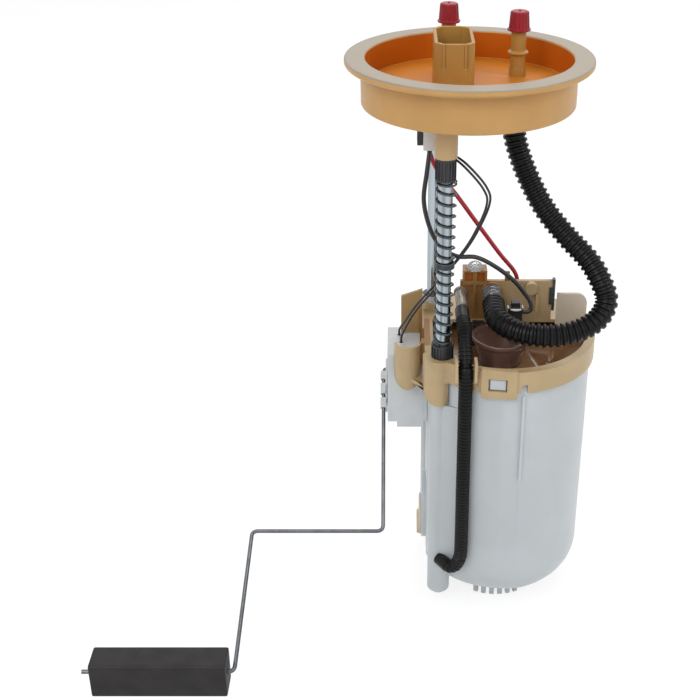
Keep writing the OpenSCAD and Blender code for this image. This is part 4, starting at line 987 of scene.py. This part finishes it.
class PUMP_OT_holder(bpy.types.Operator):
    """Makes the holder band with its wall, and the small pieces on it"""
    bl_idname = "pump.holder"
    bl_label = "Holder"

    def execute(self, context):
        rounded_copy("holder", "holder_acetal", 0,
                     change=lambda made: moved(made.data, fitted_holder))
        rounded_dome()
        rounded_copy("wall_clip", "spring_steel", 0.15)
        ringed_nipple()
        return {"FINISHED"}


def cover_bowl():
    """The pump's cover: a bowl with a tapered wall and a thick lip, hollow from below, turned."""
    low, high, r, bore = -166.0, -149.5, 16.5, 11.4
    profile = eased([(0, high - 4), (bore, high - 4), (bore, low), (r - 4.6, low),
                     (r - 4.2, low + 3), (r - 1.4, high - 4), (r, high - 2.4), (r, high),
                     (r - 2, high), (r - 2.4, high - 1), (0, high - 1)], 0.7)
    stands_for(turned("pump_cover_piece", profile, (21, -20, 0), "cover_brown"), RESERVOIR,
               "pump_cover")


class PUMP_OT_pump_top(bpy.types.Operator):
    """Makes the pump's cover, plug and stop, and the filter's lid"""
    bl_idname = "pump.pump_top"
    bl_label = "Pump and filter top"

    def execute(self, context):
        cover_bowl()
        low, high, bore, outside = -137.6, -136.6, 3.9, 4.6
        ring = eased([(bore, low), (outside, low), (outside, high), (bore, high)], 0.3)
        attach(turned("plug_ring", ring, (29.5, -10, 0), "white_nylon", 64), RESERVOIR)
        rounded_copy("pump_plug", "black_nylon", 0.3)
        rounded_copy("rubber_stop", "black_rubber", 0.4)
        rounded_copy("filter_lid", "lid_plastic", 0)
        return {"FINISHED"}


class PUMP_OT_inside(bpy.types.Operator):
    """Gives the hidden pieces of pump and filter their finishes"""
    bl_idname = "pump.inside"
    bl_label = "Inside"

    def execute(self, context):
        dress("lid_plastic", "filter_housing")
        dress("filter_paper", "filter_element")
        dress("black_nylon", "element_caps", "outlet_cap", "strainer_neck")
        dress("can_steel", "pump_can")
        dress("brass", "check_valve")
        dress("ferrite", "motor_magnets", "brushes")
        dress("cast_aluminium", "pump_chamber", "inlet_cover")
        dress("wound_copper", "armature")
        dress("plated_rod", "motor_shaft")
        dress("phenolic_brown", "impeller")
        dress("nylon_mesh", "strainer")
        return {"FINISHED"}


class PUMP_OT_sender(bpy.types.Operator):
    """Makes the level sender with its arm and float"""
    bl_idname = "pump.sender"
    bl_label = "Level sender"

    def execute(self, context):
        rounded_copy("sender_housing", "grey_acetal", 0.3)
        rail = rounded_block("sender_rail", (-23.1, -17.4, -208.7), (-20.02, -11, -173), 0.5,
                             "grey_acetal")
        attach(rail, RESERVOIR)
        rounded_copy("arm_carrier", "grey_acetal", 0.15)
        stands_for(bent_wire("float_arm_piece", ARM, ARM_RADIUS, ARM_BEND, "arm_steel"),
                   ARM_BODY, "float_arm")
        rounded_copy("float", "nitrile_foam", 0.8, 3)
        dress("ceramic_card", "resistor_card")
        dress("brass", "wiper_contacts")
        return {"FINISHED"}


CAMERA_AT = (-0.0362, -0.6230, 0.1652)
CAMERA_PITCH = 28.3
CAMERA_LENS, CAMERA_SENSOR, CAMERA_SHIFT = 61.7, 36, -0.0714
CAMERA_NEAR, CAMERA_FAR = 0.01, 20
FLOOR_GAP, FLOOR_HALF = 0.0005, 4.0
LAMP_AIM = (0, 0, -0.15)
# Name, place, side of the square and power of each lamp
LAMPS = (("key_left", (-0.6, -1.1, 1.0), 0.9, 10),
         ("fill_right", (1.1, -0.6, 0.7), 0.9, 5.5),
         ("top_back", (0.2, 0.9, 1.1), 1.0, 8))
SKY_LEVEL = 0.62
FLOOR_PALE, FLOOR_GLOW, FLOOR_GLOW_SHARE = 0.86, 1.12, 0.72


def seen_white(tree):
    """1 for what the camera, a reflection or a clear piece sees, and 0 for what gives light."""
    ray = add(tree, "LightPath").outputs
    seen = ray["Is Camera Ray"]
    for kind in ("Is Transmission Ray", "Is Glossy Ray"):
        seen = add(tree, "Math", {"operation": "MAXIMUM"}, links={0: seen, 1: ray[kind]}).outputs[0]
    return seen


class PUMP_OT_stage(bpy.types.Operator):
    """Makes the floor, the soft lights and the camera"""
    bl_idname = "pump.stage"
    bl_label = "Stage"

    def execute(self, context):
        scene = context.scene
        scene.view_settings.view_transform = "Standard"
        floor_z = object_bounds()[0][2] - FLOOR_GAP
        mesh = bpy.data.meshes.new("floor")
        corners = [(x * FLOOR_HALF, y * FLOOR_HALF, floor_z)
                   for x, y in ((-1, -1), (1, -1), (1, 1), (-1, 1))]
        mesh.from_pydata(corners, [], [(0, 1, 2, 3)])
        floor = bpy.data.objects.new("floor", mesh)
        scene.collection.objects.link(floor)
        mesh.materials.append(floor_material())
        floor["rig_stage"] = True
        self.world(scene)
        for name, place, size, power in LAMPS:
            lamp = bpy.data.lights.new(name, "AREA")
            lamp.shape, lamp.size, lamp.energy = "SQUARE", size, power
            made = bpy.data.objects.new(name, lamp)
            scene.collection.objects.link(made)
            made.location = place
            aim = np.array(LAMP_AIM) - np.array(place)
            made.rotation_euler = Vector(aim).to_track_quat("-Z", "Y").to_euler()
        lens = bpy.data.cameras.new("camera")
        lens.lens, lens.sensor_width, lens.shift_x = CAMERA_LENS, CAMERA_SENSOR, CAMERA_SHIFT
        lens.clip_start, lens.clip_end = CAMERA_NEAR, CAMERA_FAR
        camera = bpy.data.objects.new("camera", lens)
        scene.collection.objects.link(camera)
        camera.location = CAMERA_AT
        camera.rotation_euler = (math.radians(90 - CAMERA_PITCH), 0, 0)
        scene.camera = camera
        return {"FINISHED"}

    def world(self, scene):
        """White to the camera and in reflections, a plain level as light."""
        world = bpy.data.worlds.new("studio")
        scene.world = world
        world.use_nodes = True
        tree = world.node_tree
        tree.nodes.clear()
        level = add(tree, "MapRange", None, {"To Min": SKY_LEVEL, "To Max": 1.0},
                    {"Value": seen_white(tree)}).outputs[0]
        sky = add(tree, "Background", None, {"Color": (1, 1, 1, 1)}, {"Strength": level})
        add(tree, "OutputWorld", links={"Surface": sky.outputs[0]})


def floor_material():
    """Painted white floor: it looks white to the camera and in reflections, and keeps a soft
    shadow because part of what the camera sees is its lit surface."""
    made = bpy.data.materials.new("paint_matte_white")
    made.use_nodes = True
    tree = made.node_tree
    tree.nodes.clear()
    share = add(tree, "Math", {"operation": "MULTIPLY"}, {1: FLOOR_GLOW_SHARE},
                {0: seen_white(tree)}).outputs[0]
    paint = add(tree, "BsdfDiffuse", None, {"Color": (FLOOR_PALE, FLOOR_PALE, FLOOR_PALE, 1)})
    glow = add(tree, "Emission", None, {"Color": (1, 1, 1, 1), "Strength": FLOOR_GLOW})
    mixed = add(tree, "MixShader", None, None, {0: share, 1: paint.outputs[0], 2: glow.outputs[0]})
    add(tree, "OutputMaterial", links={"Surface": mixed.outputs[0]})
    return made


OPERATORS = (PUMP_OT_stage, PUMP_OT_hoses, PUMP_OT_wires, PUMP_OT_spring, PUMP_OT_flange,
             PUMP_OT_rods, PUMP_OT_reservoir, PUMP_OT_holder, PUMP_OT_pump_top, PUMP_OT_inside,
             PUMP_OT_sender)


class PUMP_PT_module(bpy.types.Panel):
    """Lists the pieces of the pump module"""
    bl_idname = "PUMP_PT_module"
    bl_label = "Fuel pump module"
    bl_space_type = "VIEW_3D"
    bl_region_type = "UI"
    bl_category = "Pump module"

    def draw(self, context):
        for operator in OPERATORS:
            self.layout.operator(operator.bl_idname)
        for group in (context.scene.module_sizes, context.scene.module_colours):
            for name in group.__annotations__:
                self.layout.prop(group, name)


CLASSES = (ModuleSizes, ModuleColours, *OPERATORS, PUMP_PT_module)


def register():
    for made in CLASSES:
        bpy.utils.register_class(made)
    bpy.types.Scene.module_sizes = bpy.props.PointerProperty(type=ModuleSizes)
    bpy.types.Scene.module_colours = bpy.props.PointerProperty(type=ModuleColours)


def unregister():
    del bpy.types.Scene.module_sizes
    del bpy.types.Scene.module_colours
    for made in reversed(CLASSES):
        bpy.utils.unregister_class(made)


def main():
    register()
    for operator in OPERATORS:
        group, name = operator.bl_idname.split(".")
        getattr(getattr(bpy.ops, group), name)()


if __name__ == "__main__":
    main()
